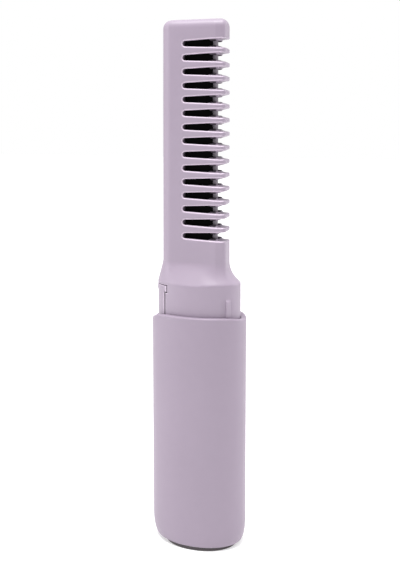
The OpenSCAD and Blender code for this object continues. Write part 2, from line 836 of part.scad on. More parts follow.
module power_transistors() {
    color([0.12, 0.12, 0.13]) for (i = [0:1])
        board_part(-board_w/2 + 1.7 + i*5.2, button_z - 2.6, 4.4, 5.2, 1.1);
}

module boost_coil() {
    color([0.25, 0.25, 0.27]) difference() {
        board_part(3, button_z - 3, 6.4, 6.4, 3);
        rod_y(6.2, button_z + 0.2, 2, board_y - 4, board_y - 2.6);
    }
}

module capacitors() {
    color([0.6, 0.5, 0.35]) for (i = [0:2]) board_part(4.6, button_z + 5 + i*2.2, 2.4, 1.5, 1.2);
}

module status_leds() {
    color([0.95, 0.95, 0.9]) for (i = [-1:1])
        box([i*led_step - led_half_w, board_back, led_z - led_half_h],
            [i*led_step + led_half_w, board_back + led_h, led_z + led_half_h]);
}

module light_pipe() {
    bar = 1.2;
    color([0.95, 0.95, 0.97]) {
        for (i = [-1:1]) rod_y(i*led_step, led_z, pipe_r, board_back + led_h + stack_gap, pipe_end);
        box([-led_step - bar, flange_y, led_z - bar], [led_step + bar, flange_y + flange_t, led_z + bar]);
    }
}

module tact_switch() {
    color([0.15, 0.15, 0.16]) difference() {
        box([-switch_w/2, board_back, button_z - switch_w/2],
            [switch_w/2, board_back + switch_h, button_z + switch_w/2]);
        rod_y(0, button_z, plunger_r + plunger_fit, board_back + switch_floor, big);
    }
}

module switch_plunger() {
    color([0.9, 0.9, 0.88])
        rod_y(0, button_z, plunger_r, board_back + switch_floor + button_travel + 0.15, plunger_top);
}

module button_seal() {
    color([0.25, 0.24, 0.26]) difference() {
        rod_y(0, button_z, flange_r, flange_y + flange_t + 0.1, cav_b - seal_gap);
        rod_y(0, button_z, button_r + move_gap, 0, big);
    }
}

module power_button() {
    color([0.76, 0.7, 0.77]) difference() {
        union() {
            rod_y(0, button_z, button_r, flange_y, button_face);
            rod_y(0, button_z, flange_r, flange_y, flange_y + flange_t);
            rod_y(0, button_z, nub_r, plunger_top, flange_y + eps);
        }
        translate([0, button_face + dish_r - dish_h, button_z]) sphere(r = dish_r, $fn = round_n);
    }
}

// ---- Heater ----

// A flat strip of the heater stack on one side of the middle plane
module strip(side, y, t, x0, x1, z0, z1) {
    box([x0, min(side*y, side*(y + t)), z0], [x1, max(side*y, side*(y + t)), z1]);
}

module heat_plate(side) {
    finger_h = gap_pitch - gap_tip_h - finger_gap;
    color([0.06, 0.06, 0.06]) {
        strip(side, plate_y, plate_t, -heater_back_x, plate_edge_x, heater_z0, heater_z1);
        for (i = [0:gap_count - 2]) {
            z = gap_low_z + (i + 0.5)*gap_pitch;
            strip(side, plate_y, plate_t, plate_edge_x - 1, finger_x, z - finger_h/2, z + finger_h/2);
        }
    }
}

module heat_plate_front() { heat_plate(-1); }
module heat_plate_back() { heat_plate(1); }

module nose_guard() {
    r = carrier_half;
    color([0.72, 0.66, 0.73]) {
        rod_z(nose_x - r, 0, r, heater_z0, heater_z1);
        box([nose_back_x, -r, heater_z0], [nose_x - r, r, heater_z1]);
    }
}

module heater_carrier() {
    color([0.12, 0.12, 0.12]) difference() {
        box([-heater_back_x, -carrier_half, heater_z0],
            [nose_back_x - stack_gap, carrier_half, heater_z1]);
        for (i = [0:chip_count - 1])
            box([chip_x0 - stack_gap, -big, chip_mid(i) - chip_len/2 - stack_gap],
                [chip_x1 + stack_gap, big, chip_mid(i) + chip_len/2 + stack_gap]);
        for (side = [-1, 1])
            strip(side, chip_half, big, strip_x0 - strip_gap, strip_x1 + strip_gap,
                heater_z0 - over, heater_z1 - over);
        rod_z(bead_x, 0, bead_r + stack_gap, heater_z0 - over, bead_z + bead_r);
    }
}

function chip_mid(i) = heater_z0 + chip_margin + chip_room*(i + 0.5);

module heating_chips() {
    color([0.82, 0.8, 0.74]) for (i = [0:chip_count - 1])
        box([chip_x0, -chip_half, chip_mid(i) - chip_len/2],
            [chip_x1, chip_half, chip_mid(i) + chip_len/2]);
}

module electrode(side) {
    color([0.8, 0.65, 0.3]) {
        strip(side, electrode_y, electrode_t, strip_x0, strip_x1,
            heater_z0 + electrode_end, heater_z1 - electrode_end);
        strip(side, electrode_y, electrode_t, tail_x0, tail_x1, tail_z, heater_z0 + electrode_end + over);
    }
}

module electrode_front() { electrode(-1); }
module electrode_back() { electrode(1); }

module film(side) {
    color([0.75, 0.5, 0.15])
        strip(side, film_y, film_t, strip_x0 - film_over, strip_x1 + film_over,
            heater_z0 + 2*film_over, heater_z1 - over - 0.1);
}

module film_front() { film(-1); }
module film_back() { film(1); }

module thermistor() {
    color([0.3, 0.25, 0.2]) translate([bead_x, 0, bead_z - bead_r]) sphere(r = bead_r, $fn = 32);
}

module thermal_fuse() {
    color([0.85, 0.85, 0.8]) rod_z(fuse_x, -lead_back_y, fuse_r, fuse_z, fuse_z + fuse_len);
}

module heater_leads() {
    x = 1.8;
    y = board_y - wire_r;
    color([0.75, 0.72, 0.65]) {
        wire([[-x, y, lead_foot], [-x, y, lead_clear],
            [fuse_x, -lead_back_y, lead_cross], [fuse_x, -lead_back_y, fuse_z]]);
        wire([[fuse_x, -lead_back_y, fuse_z + fuse_len], [fuse_x, -lead_back_y, lead_joint_z]]);
        wire([[x, y, lead_foot], [x, y, lead_clear], [x, lead_back_y + 0.4, lead_cross],
            [fuse_x, lead_back_y, fuse_z + fuse_len], [fuse_x, lead_back_y, lead_joint_z]]);
    }
}

module sensor_leads() {
    r = sensor_wire_r;
    x = -9.6;
    color([0.2, 0.2, 0.6])
        wire([[x, board_y - r, lead_foot], [x, board_y - r, lead_clear],
            [bead_x, 0, fuse_z], [bead_x, 0, bead_z - 2*bead_r]], r);
}

handle_sleeve();
base_cap();
base_screws();
usb_shell();
usb_tongue();
charge_board();
charge_parts();
charge_light();
battery_cradle();
battery_cell();
battery_wrap();
battery_terminal();
battery_tab_top();
battery_tab_bottom();
battery_pads();
battery_leads();
charge_leads();
comb_front_shell();
comb_back_shell();
shell_screws();
main_board();
board_screws();
control_chip();
power_transistors();
boost_coil();
capacitors();
status_leds();
light_pipe();
tact_switch();
button_seal();
heat_plate_front();
heat_plate_back();
nose_guard();
heater_carrier();
heating_chips();
electrode_front();
electrode_back();
film_front();
film_back();
thermistor();
thermal_fuse();
heater_leads();
sensor_leads();
power_button();
switch_plunger();
cap_latch();
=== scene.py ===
# %% [markdown]
# # A cordless hot comb, dressed on its imported frame
# The comb is a flat heated head on an oval handle. The imported frame already holds every piece at its
# true place and size, so this lesson only makes the visible pieces finer and gives each one its finish.
# We load the frame first.

# %% Load the frame
import json
import math
import bpy
import bmesh
import numpy as np
from mathutils import Matrix, Vector
from mathutils.geometry import delaunay_2d_cdt


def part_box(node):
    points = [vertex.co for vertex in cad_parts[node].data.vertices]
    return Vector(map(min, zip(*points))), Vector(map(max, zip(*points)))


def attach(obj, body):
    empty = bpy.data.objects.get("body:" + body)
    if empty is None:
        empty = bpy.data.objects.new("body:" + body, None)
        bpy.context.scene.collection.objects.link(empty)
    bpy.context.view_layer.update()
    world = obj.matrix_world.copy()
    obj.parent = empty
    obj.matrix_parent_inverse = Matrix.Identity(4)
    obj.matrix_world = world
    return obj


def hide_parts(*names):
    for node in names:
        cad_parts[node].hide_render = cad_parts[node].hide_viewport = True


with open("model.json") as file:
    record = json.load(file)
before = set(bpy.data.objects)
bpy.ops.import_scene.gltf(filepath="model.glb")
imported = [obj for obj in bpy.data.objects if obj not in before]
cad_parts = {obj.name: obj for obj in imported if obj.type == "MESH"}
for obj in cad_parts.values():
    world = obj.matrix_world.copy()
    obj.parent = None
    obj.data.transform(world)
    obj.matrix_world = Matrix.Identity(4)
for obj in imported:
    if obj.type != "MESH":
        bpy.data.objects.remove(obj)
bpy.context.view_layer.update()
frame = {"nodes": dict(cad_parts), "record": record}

MM = 0.001
finish_of = {part["node"]: part["material_slot"] for part in frame["record"]["subparts"]}
bodies = frame["record"]["behaviour"]["bodies"]
body_of = {node_name: body for body, node_names in bodies.items() for node_name in node_names}

# %% [markdown]
# ## The camera
# A product like this is seen standing up, from a little above its middle and a little to its right.
# The camera could be aimed at the object, but upright lines would then lean. It looks nearly level
# instead, and the lens is shifted down, as with a view camera, so the sides of the handle stay upright.

# %% Camera
CAMERA_AT, LOOKS_DOWN, TURNED = (91.5, -301.1, 180.7), 5.49, 16.9


def in_scene(name, data):
    obj = bpy.data.objects.new(name, data)
    bpy.context.scene.collection.objects.link(obj)
    return obj


camera = in_scene("camera", bpy.data.cameras.new("camera"))
camera.data.lens = 48.0
camera.data.sensor_width = 36.0
camera.data.shift_x = 0.00155
camera.data.shift_y = -0.165
camera.data.clip_start = 0.01
camera.location = [v * MM for v in CAMERA_AT]
camera.rotation_euler = (math.radians(90 - LOOKS_DOWN), 0, math.radians(TURNED))
bpy.context.scene.camera = camera
bpy.context.scene.view_settings.view_transform = "Standard"
print("camera", [round(v, 4) for v in camera.location])

# %% [markdown]
# ## The oval
# Every section of the handle is one kind of oval, a superellipse: an ellipse whose sides are pushed
# out a little. We write it once, as a point for an angle, and use it for the handle, collar and cap.

# %% The oval section
FULLNESS = 2.1


def oval(half_w, half_d, angle):
    c, s = np.cos(angle), np.sin(angle)
    return (half_w * np.sign(c) * np.abs(c) ** (2 / FULLNESS),
            half_d * np.sign(s) * np.abs(s) ** (2 / FULLNESS))


def oval_side(half_w, half_d, y):
    """Half width of the oval at a distance y from its long axis."""
    return half_w * (1 - np.minimum(np.abs(y) / half_d, 1) ** FULLNESS) ** (1 / FULLNESS)


def oval_normal(half_w, half_d, x, y):
    """The direction straight out of the oval at one of its points."""
    nx = np.sign(x) * (np.abs(x) / half_w) ** (FULLNESS - 1) / half_w
    ny = np.sign(y) * (np.abs(y) / half_d) ** (FULLNESS - 1) / half_d
    size = np.maximum(np.hypot(nx, ny), 1e-9)
    return nx / size, ny / size


def eased(v):
    """A step from 0 to 1 with soft ends."""
    v = np.clip(v, 0, 1)
    return v ** 2 * (3 - 2 * v)


print("oval at 45 degrees", [round(float(v), 2) for v in oval(20.3, 12.25, math.pi / 4)])

# %% [markdown]
# ## A moulded wall as a sheet
# The outer pieces are plastic walls with holes, slots and rounded edges. They could be cut with booleans
# and bevelled, but bevels fail where a cut meets a curved face. So each wall is planned flat, like a paper
# pattern with holes. It is filled with triangles, laid on the curved surface, given rounded edges, and
# closed with an inner face.

# %% Helpers for a flat pattern
def marks(*runs):
    """Places along a pattern from several runs of numbers, in order and without doubles."""
    return sorted({round(float(v), 4) for v in np.r_[runs]})


def crossings(cols, rows):
    return [(c, r) for c in cols for r in rows]


def walk(corners, radii, cols, rows, closed=True):
    """A pattern's edge through corners, with a point wherever it crosses a column or row."""
    points, rounds = [], []
    count = len(corners) if closed else len(corners) - 1
    for i in range(count):
        p, q = corners[i], corners[(i + 1) % len(corners)]
        before = radii[i - 1] if (closed or i) else radii[i]
        after = radii[(i + 1) % len(radii)]
        points.append(p)
        rounds.append(min(radii[i], before))
        axis = 0 if abs(q[0] - p[0]) > abs(q[1] - p[1]) else 1
        near = {p[axis]: 0.1 + max(radii[i], before), q[axis]: 0.1 + max(radii[i], after)}
        low, high = sorted(near)
        stops = [m for m in (cols, rows)[axis] if low + near[low] < m < high - near[high]]
        for stop in (stops if q[axis] > p[axis] else stops[::-1]):
            f = (stop - p[axis]) / (q[axis] - p[axis])
            points.append((p[0] + (q[0] - p[0]) * f, p[1] + (q[1] - p[1]) * f))
            rounds.append(radii[i])
    return points, rounds


def inward(points, seam):
    """The direction in which each point of an edge moves when the edge is inset by one."""
    def left_of(e):
        return np.c_[-e[:, 1], e[:, 0]] / np.maximum(np.linalg.norm(e, axis=1, keepdims=True), 1e-12)

    a, b = left_of(points - np.roll(points, 1, 0)), left_of(np.roll(points, -1, 0) - points)
    a[np.roll(seam, 1)] = 0
    b[seam] = 0
    both = (~seam & ~np.roll(seam, 1))[:, None]
    mid = (a + b) / np.maximum(1 + (a * b).sum(1, keepdims=True), 0.35)
    return np.where(both, mid, a + b)



def by_parts(test):
    """Runs a test on a thousand points at a time, so that its tables stay small."""
    return lambda points, *more: np.concatenate(
        [test(part, *more) for part in np.array_split(points, len(points) // 1000 + 1)])


@by_parts
def inside(points, loops):
    """Which points lie in the pattern: inside its outline and outside its holes."""
    x, y, hit = points[:, :1], points[:, 1:], np.zeros(len(points), bool)
    for loop in loops:
        nxt = np.roll(loop, -1, 0)
        cross = (loop[:, 1] > y) != (nxt[:, 1] > y)
        with np.errstate(divide="ignore", invalid="ignore"):
            at = (nxt[:, 0] - loop[:, 0]) * (y - loop[:, 1]) / (nxt[:, 1] - loop[:, 1]) + loop[:, 0]
        hit ^= np.sum(cross & (x < at), axis=1) % 2 == 1
    return hit


@by_parts
def clear_of(points, loops, room):
    """Which points keep at least that room from every edge."""
    far = np.ones(len(points), bool)
    for loop in loops:
        d, p = np.roll(loop, -1, 0) - loop, points[:, None, :] - loop[None]
        f = np.clip((p * d).sum(2) / np.maximum((d * d).sum(1), 1e-12), 0, 1)
        gap = p - f[..., None] * d
        far &= np.sqrt((gap * gap).sum(2)).min(1) > room
    return far


# %% From points and faces to a finished object
def shade(mesh, sharp_from):
    mesh.shade_smooth()
    mesh.set_sharp_from_angle(angle=math.radians(sharp_from))


def make_object(name, points, faces, depth=None):
    mesh = bpy.data.meshes.new(name)
    mesh.from_pydata([tuple(float(v) * MM for v in p) for p in points], [], faces)
    if depth is not None:
        held = mesh.attributes.new("depth", "FLOAT", "POINT")
        held.data.foreach_set("value", np.asarray(depth, np.float32))
    bm = bmesh.new()
    bm.from_mesh(mesh)
    bmesh.ops.remove_doubles(bm, verts=bm.verts, dist=0.002 * MM)
    bmesh.ops.dissolve_degenerate(bm, dist=0.0005 * MM, edges=bm.edges)
    bmesh.ops.recalc_face_normals(bm, faces=bm.faces)
    open_edges = sum(not e.is_manifold for e in bm.edges)
    bm.to_mesh(mesh)
    bm.free()
    shade(mesh, 40)
    obj = in_scene(name, mesh)
    even = obj.modifiers.new("even shading", "WEIGHTED_NORMAL")
    even.keep_sharp = True
    print(name, "faces", len(mesh.polygons), "open edges", open_edges)
    return obj


# %% Fill a pattern with triangles
def fill(patterns, grid, room):
    """The grid points that lie in the pattern with room to its edges, and triangles over them all."""
    grid = np.array(grid, float)
    grid = grid[inside(grid, patterns)]
    grid = grid[clear_of(grid, patterns, room)]
    flat, edges, kept = np.vstack(patterns + [grid]), [], []
    for pattern in patterns:
        first, n = len(edges), len(pattern)
        edges += [(first + i, first + (i + 1) % n) for i in range(n)]
    out = delaunay_2d_cdt([Vector(p) for p in flat], edges, [], 0, 1e-7, True)
    source = [ids[0] if ids else -1 for ids in out[3]]
    tris = np.array([t for t in out[2] if len(t) == 3])
    place = np.array([tuple(v) for v in out[0]])
    for t in tris[inside(place[tris].mean(1), patterns)]:
        a, b, c = (source[v] for v in t)
        if min(a, b, c) >= 0 and len({a, b, c}) == 3:
            u, v = flat[b] - flat[a], flat[c] - flat[a]
            kept.append((a, b, c) if u[0] * v[1] >= u[1] * v[0] else (a, c, b))
    return grid, kept


# %% Lay a pattern on a surface
ROUND_STEPS = 4


def normals_of(surface, q):
    h = 0.002
    du = surface(q[:, 0] + h, q[:, 1]) - surface(q[:, 0] - h, q[:, 1])
    dv = surface(q[:, 0], q[:, 1] + h) - surface(q[:, 0], q[:, 1] - h)
    n = np.cross(du, dv)
    size = np.linalg.norm(n, axis=1, keepdims=True)
    return np.where(size > 1e-9, n / np.maximum(size, 1e-12), [[0, 0, 1.0]])


def lay_sheet(name, loops, surface, inner, grid, room=0.3, mirror=False):
    """Makes a closed wall. A loop is {points, round, seam, flank}; its material lies on its left.

    Each point keeps its depth: below 0 on a rounded edge, 0 on the face and 1 on the hidden sides."""
    verts, depth, faces, outer_id, inner_id, patterns = [], [], [], [], [], []

    def add(points, deep=0.0):
        first = len(verts)
        verts.extend(np.asarray(points, float))
        depth.extend([deep] * (len(verts) - first))
        return list(range(first, len(verts)))

    for loop in loops:
        p, r = np.array(loop["points"], float), np.array(loop["round"], float)[:, None]
        n = len(p)
        seam = np.array(loop.get("seam", np.zeros(n, bool)), bool)
        m, rings = inward(p, seam), []
        for k in range(ROUND_STEPS + 1):
            turn = math.pi / 2 * k / ROUND_STEPS
            q = p + m * (r * (1 - math.sin(turn)))
            ring = surface(*q.T) - normals_of(surface, q) * (r * (1 - math.cos(turn)))
            rings.append(add(ring, -math.sin(math.pi * k / ROUND_STEPS)))
            if k == 0:
                patterns.append(q)
        flank = loop.get("flank") or (lambda s: [inner(*s.T, True)])
        rings += [add(ring, 1.0) for ring in flank(p)]
        for near, far in zip(rings, rings[1:]):
            for i in np.flatnonzero(~seam):
                j = (i + 1) % n
                faces.append((far[i], far[j], near[j], near[i]))
        outer_id += rings[0]
        inner_id += rings[-1]
    grid, triangles = fill(patterns, grid, room)
    outer_id += add(surface(*grid.T))
    inner_id += add(inner(*grid.T, False), 1.0)
    for a, b, c in triangles:
        faces.append((outer_id[a], outer_id[b], outer_id[c]))
        faces.append((inner_id[c], inner_id[b], inner_id[a]))
    points = np.array(verts)
    if mirror:
        points, faces = points * [1, -1, 1], [f[::-1] for f in faces]
    return make_object(name, points, faces, depth)


def ring_hole(x, z, radius, edge, count=32, to_pattern=lambda v: v):
    """A round hole, walked so that the wall lies on its left."""
    turn = -2 * math.pi * np.arange(count) / count
    return {"points": np.c_[to_pattern(x + radius * np.cos(turn)), z + radius * np.sin(turn)],
            "round": np.full(count, edge)}


print("pattern helpers ready")

# %% [markdown]
# ## The head's section
# Cut across, the head is a flat bar: a round spine on one side, flat faces, and a long bevel that thins
# it towards the tooth tips. One half of this section is written as a line, and every place on the comb's
# front is then known by its distance along that line and its height.

# %% Half section of the head
RIM_Z, COLLAR_Z, HEAD_Z, TOP_Z = 99.4, 112.6, 121.2, 220.5
SPINE_X, TIP_X, HALF_T, SEAM = 15.5, 12.5, 5.0, 0.025
HEAD_MID, HEAD_HALF_W = (TIP_X - SPINE_X) / 2, (TIP_X + SPINE_X) / 2
SPINE_R, BEVEL_W, CREASE_R, TIP_R, TIP_Y = 4.6, 4.0, 0.8, 1.4, -2.6


def arc_points(cx, cy, r, start, end, count):
    t = np.radians(np.linspace(start, end, count))
    return np.c_[cx + r * np.cos(t), cy + r * np.sin(t)]


bevel_start, tip_centre = np.array([TIP_X - BEVEL_W, -HALF_T]), np.array([TIP_X - TIP_R, TIP_Y])
to_tip = tip_centre - bevel_start
bevel_angle = math.degrees(math.atan2(to_tip[1], to_tip[0]) - math.asin(TIP_R / np.linalg.norm(to_tip)))
crease_x = bevel_start[0] - CREASE_R * math.tan(math.radians(bevel_angle / 2))
section = np.vstack([
    [[-SPINE_X, -SEAM]],
    arc_points(-SPINE_X + SPINE_R, -HALF_T + SPINE_R, SPINE_R, 180, 270, 200),
    arc_points(crease_x, -HALF_T + CREASE_R, CREASE_R, 270, 270 + bevel_angle, 60),
    arc_points(*tip_centre, TIP_R, bevel_angle - 90, 0, 80),
    [[TIP_X, -SEAM]],
])
section_a = np.r_[0, np.cumsum(np.linalg.norm(np.diff(section, axis=0), axis=1))]
tip_a, WIDTH = section_a[-2:]


def section_at(a):
    """The point at a distance along the half section, and its direction from the head's middle."""
    hx, hy = np.interp(a, section_a, section[:, 0]), np.interp(a, section_a, section[:, 1])
    return hx, hy, np.arctan2(hy / HALF_T, (hx - HEAD_MID) / HEAD_HALF_W)


print("bevel", round(bevel_angle, 2), "degrees; half section", round(float(WIDTH), 2), "mm long")

# %% [markdown]
# ## From collar to head
# The collar is oval and the head is flat, so the shoulder has to turn one into the other. Each point of
# the head's section is paired with the point of the oval in the same direction, and the shoulder runs
# between the two: straight on the spine side, hollow on the tooth side, and nearly straight in front.

# %% Helpers for the shoulder
COL_A, COL_B, CAV_A, CAV_B = 17.85, 9.8, 16.35, 8.3


def flare(u):
    return 1 - (1 - np.clip((u - 0.02) / 0.98, 0, 1)) ** 2


def swell(u, side):
    """The front and back run down to the collar nearly straight, and hollow only on the tooth side."""
    straight = 1 - (np.sqrt((1 - u) ** 2 + 0.06) - 0.245) / 0.785
    return straight + (flare(u) - straight) * eased((side - 0.2) / 0.6)


def plateau(v, low, high, edge):
    return eased((v - low) / edge + 0.5) * eased((high - v) / edge + 0.5)


def shoulder(half_w, half_d, foot, angle, to_x, to_y, t):
    """The oval's point, and how far it has moved at height t on its way to a point of the head."""
    ox, oy = oval(half_w, half_d, angle)
    u, spine = np.clip((t - foot) / (HEAD_Z - foot), 0, 1), np.clip(-ox / half_w, 0, 1)
    x = ox + (to_x - ox) * (flare(u) * (1 - spine) + u * spine)
    return ox, oy, x, oy + (to_y - oy) * swell(u, ox / half_w)


print("shoulder", round(HEAD_Z - COLLAR_Z, 1), "mm high")

# %% Outer and inner surface of a comb shell
FOOT_Z, TOP_R, FLAT_DEPTH, TAPER = 77.8, 3.4, 1.6, 0.028
TOP_START = TOP_Z - TOP_R
TOP_FLAT = TOP_START + TOP_R * math.pi / 2
TOP_END = TOP_FLAT + FLAT_DEPTH
HOLLOW_X, HOLLOW_TOP, HOLLOW_BACK, HOLLOW_SHARE, SIDE_WALL = 9.25, 214.3, -13.3, 0.6, 2
RIB_X, RIB_Z, RIB_SIDE = (13.45, 15.1), (98.8, 106.3), 0.18
GAP_TOP, GAP_COUNT, GAP_PITCH, TEETH_LOW = 210.6, 15, 5.605, 129
ROOT_R, MOUTH, TOOTH_R, ROOT_X, WEB = 1.1, 1.875, 0.8, -5.75, 0.8


def shell_outer(a, t, ribs=True):
    hx, hy, angle = section_at(a)
    ox, oy, x, y = shoulder(COL_A, COL_B, COLLAR_Z, angle, hx, hy, t)
    # The ridge above the collar dips at its middle, and less towards both ends
    side = ox / COL_A
    dip = np.where(side > 0, 0.1, 0.3) * side ** 2 + 0.5 * np.exp(-((side + 0.05) / 0.38) ** 2)
    z = t - dip * np.interp(t, [RIM_Z, COLLAR_Z, HEAD_Z], [0, 1, 0])
    if ribs:
        lift = (0.9 - 0.3 * (ox - RIB_X[0])) * plateau(ox, *RIB_X, RIB_SIDE) * plateau(t, *RIB_Z, 1.2)
        nx, ny = oval_normal(COL_A, COL_B, ox, oy)
        x, y = x + lift * nx, y + lift * ny
    # The top bends over through a quarter turn, and then runs flat to the middle plane
    turn = np.clip((t - TOP_START) / TOP_R, 0, math.pi / 2)
    back, across = 1 - np.cos(turn), (hx - HEAD_MID) / HEAD_HALF_W
    z = np.where(t > TOP_START, TOP_START + TOP_R * np.sin(turn), z)
    x = x - back * np.where(across > 0, 2.4, 3.4) * across
    shut = np.clip((t - TOP_FLAT) / FLAT_DEPTH, 0, 1)
    y = np.minimum(y * (1 - back * TOP_R / HALF_T) * (1 - shut) - SEAM * shut, -SEAM)
    x = x * (1 - TAPER * np.clip((t - HEAD_Z) / (TOP_Z - HEAD_Z), 0, 1))
    return np.c_[x, y, z]


def shell_inner(a, t, at_edge):
    x, y, z = shell_outer(a, t, False).T
    hx, hy, angle = section_at(a)
    in_x = HEAD_MID + (hx - HEAD_MID) * (HEAD_HALF_W - SIDE_WALL) / HEAD_HALF_W
    *_, low_x, low_y = shoulder(CAV_A, CAV_B, COLLAR_Z - 1.8, angle, in_x, hy * HOLLOW_SHARE, t)
    head = t > HEAD_Z
    solid = head & ((x > HOLLOW_X) | (t > HOLLOW_TOP))
    x_in = np.where(head, np.clip(x, HOLLOW_BACK, HOLLOW_X), low_x)
    y_in = np.where(head, y * HOLLOW_SHARE, low_y)
    x_in = np.where(solid, np.clip(x, -SPINE_X + 0.06, TIP_X - 0.06), x_in)
    y_in = np.where(solid, -SEAM, np.minimum(y_in, -SEAM))
    in_gap = head & (x > ROOT_X - 0.15) & (t < TOP_START) & (z > TEETH_LOW) & at_edge
    x_in = np.where(in_gap, np.maximum(x_in, ROOT_X + 0.85), x_in)
    # Towards the middle plane the teeth grow thicker, most of all next to the guard bar
    off = np.mod(t - GAP_TOP + GAP_PITCH / 2, GAP_PITCH) - GAP_PITCH / 2
    near_bar = np.clip((12.4 - x) / 3.8, 0, 1) * np.clip(x - 5, 0, 1)
    web = WEB * np.where(in_gap & (np.abs(off) > 0.6), near_bar, 0)
    return np.c_[x_in, y_in, np.minimum(z, TOP_Z - 0.06) - web * np.sign(off)]


print("shell runs from", shell_outer(np.array([9.0]), np.array([FOOT_Z]))[0].round(2), "up")

# %% From a place on the comb to its distance along the pattern
fine_a = np.linspace(0, WIDTH, 4001)
fine_x, _, fine_angle = section_at(fine_a)
collar_x, collar_y = oval(COL_A, COL_B, fine_angle)
spine_half, on_head = fine_x < HEAD_MID, (fine_a > 0.5) & (fine_a < tip_a)
at_collar_x = lambda x: np.interp(x, collar_x, fine_a)
at_collar_y = lambda y: float(np.interp(y, -collar_y[spine_half], fine_a[spine_half]))
at_head_x = lambda x: np.interp(x, fine_x[on_head], fine_a[on_head])
print("the bevel starts", round(float(at_head_x(crease_x)), 2), "mm along the pattern")

# %% [markdown]
# ## The comb shells with their teeth
# The head is two plastic shells that meet on the middle plane. Fifteen slots are cut into each from the
# tip side, and what is left between them is the fourteen teeth. The teeth could be separate bars set in
# a row, but on the real comb they grow out of the wall with one smooth skin, so they are part of the
# pattern: the outline itself goes in and out around every slot, with a round closed end.

# %% Columns of the pattern, close together where the section bends
spine_a, crease_a = HALF_T - SPINE_R - SEAM, float(at_head_x(crease_x))
spine_end = spine_a + SPINE_R * math.pi / 2
crease_end = crease_a + CREASE_R * math.radians(bevel_angle)
tip_start = tip_a - TIP_R * math.radians(90 - bevel_angle)
shell_cols = marks(
    0, np.linspace(spine_a, spine_end, 13), np.linspace(spine_end, crease_a, 18),
    np.linspace(crease_a, crease_end, 5), np.linspace(crease_end, tip_start, 4),
    np.linspace(tip_start, tip_a, 8), np.linspace(tip_a, WIDTH, 6),
    at_head_x(HOLLOW_X - 0.05), at_head_x(HOLLOW_X + 0.05),
    at_collar_x(RIB_X[0] + RIB_SIDE / 2 * np.arange(-1, 2)),
    at_collar_x(RIB_X[1] + RIB_SIDE / 2 * np.array([-1, 1])))
print("columns", len(shell_cols))

# %% The outline of one slot
EDGE = 0.05


def slot_edge(centre):
    """The slot from its mouth in along its lower side, round its end and out again."""
    root_c, tooth, wide = ROOT_X + ROOT_R, TIP_X - TOOTH_R, MOUTH + TOOTH_R

    def half(x):
        if x > tooth:
            return wide - math.sqrt(max(TOOTH_R ** 2 - (x - tooth) ** 2, 0))
        return ROOT_R + (MOUTH - ROOT_R) * (x - root_c) / (tooth - root_c)

    cols = [c for c in shell_cols if at_head_x(root_c) + 0.25 < c < tip_a - 0.02]
    xs = {float(section_at(c)[0]) for c in cols} | {TIP_X - 0.15, TIP_X - 0.05}
    side = [(a, wide, EDGE) for a in (WIDTH, (WIDTH + tip_a) / 2, tip_a)]
    side += [(float(at_head_x(x)), half(x), float(np.interp(x, [10.8, 12.3], [0.65, EDGE])))
             for x in sorted(xs, reverse=True) if x < TIP_X - 0.01]
    end = [(float(at_head_x(root_c - ROOT_R * math.sin(t))), ROOT_R * math.cos(t), 0.6)
           for t in np.linspace(0, math.pi, 11)]
    low = [(a, centre - h, r) for a, h, r in side + end]
    return low + [(a, centre + h, r) for a, h, r in side[::-1]]


print("points round a slot", len(slot_edge(0)))

# %% Outline of a shell, with its slots and the latch's opening
TONGUE_HALF, T_HALF = 6.5, 7.25
SLOT_LOW, SLOT_STEP, SLOT_TOP = 93.425, 108.1, 111.55
slot_a, slot_head_a = at_collar_y(TONGUE_HALF + 0.7), at_collar_y(T_HALF + 0.4)
gap_z = [GAP_TOP - i * GAP_PITCH for i in range(GAP_COUNT)][::-1]
shell_rows = marks(
    FOOT_Z, np.arange(80, 98, 2.5), 98.4, 99.2, np.arange(100.2, 105.5, 1.1), np.linspace(105.7, 106.9, 5),
    np.arange(107.6, 112, 0.9), 112.25, np.linspace(COLLAR_Z, HEAD_Z, 17), HEAD_Z - 0.05, HEAD_Z + 0.05,
    np.arange(122.6, 130, 1.4), [z + k * GAP_PITCH / 4 for z in gap_z for k in (-1, 0, 1, 2)],
    HOLLOW_TOP - 0.05, HOLLOW_TOP + 0.05, np.arange(215.4, TOP_START, 1.2),
    np.linspace(TOP_START, TOP_FLAT, 9), np.linspace(TOP_FLAT, TOP_END, 4))


def shell_outline():
    low = [(0, FOOT_Z), (WIDTH, FOOT_Z)]
    points, rounds = walk(low, [EDGE], shell_cols, shell_rows, closed=False)
    points.append(low[1])
    rounds.append(EDGE)

    def climb(start, end):
        side = [(WIDTH, r) for r in shell_rows if start + 0.3 < r < end]
        points.extend(side)
        rounds.extend([EDGE] * len(side))

    here = FOOT_Z
    for z in gap_z:
        slot = slot_edge(z)
        climb(here, slot[0][1] - 0.3)
        points.extend((a, t) for a, t, _ in slot)
        rounds.extend(r for _, _, r in slot)
        here = slot[-1][1]
    climb(here, TOP_FLAT - 0.1)
    rest = [(WIDTH, TOP_FLAT), (WIDTH - 2.9, TOP_END), (1.1, TOP_END), (0, TOP_FLAT), (0, SLOT_TOP),
            (slot_head_a, SLOT_TOP), (slot_head_a, SLOT_STEP), (slot_a, SLOT_STEP), (slot_a, SLOT_LOW),
            (0, SLOT_LOW), (0, FOOT_Z)]
    cols = [c for c in shell_cols if c < WIDTH - 3]
    more, more_rounds = walk(rest, [EDGE] * 4 + [0.2] * 5 + [EDGE], cols, shell_rows, closed=False)
    return {"points": points + more, "round": rounds + more_rounds}


outline = shell_outline()
print("outline points", len(outline["points"]), "rows", len(shell_rows))

# %% Front and back shell
shell_grid = crossings(shell_cols, shell_rows)
front_shell = lay_sheet("front_shell", [outline], shell_outer, shell_inner, shell_grid)

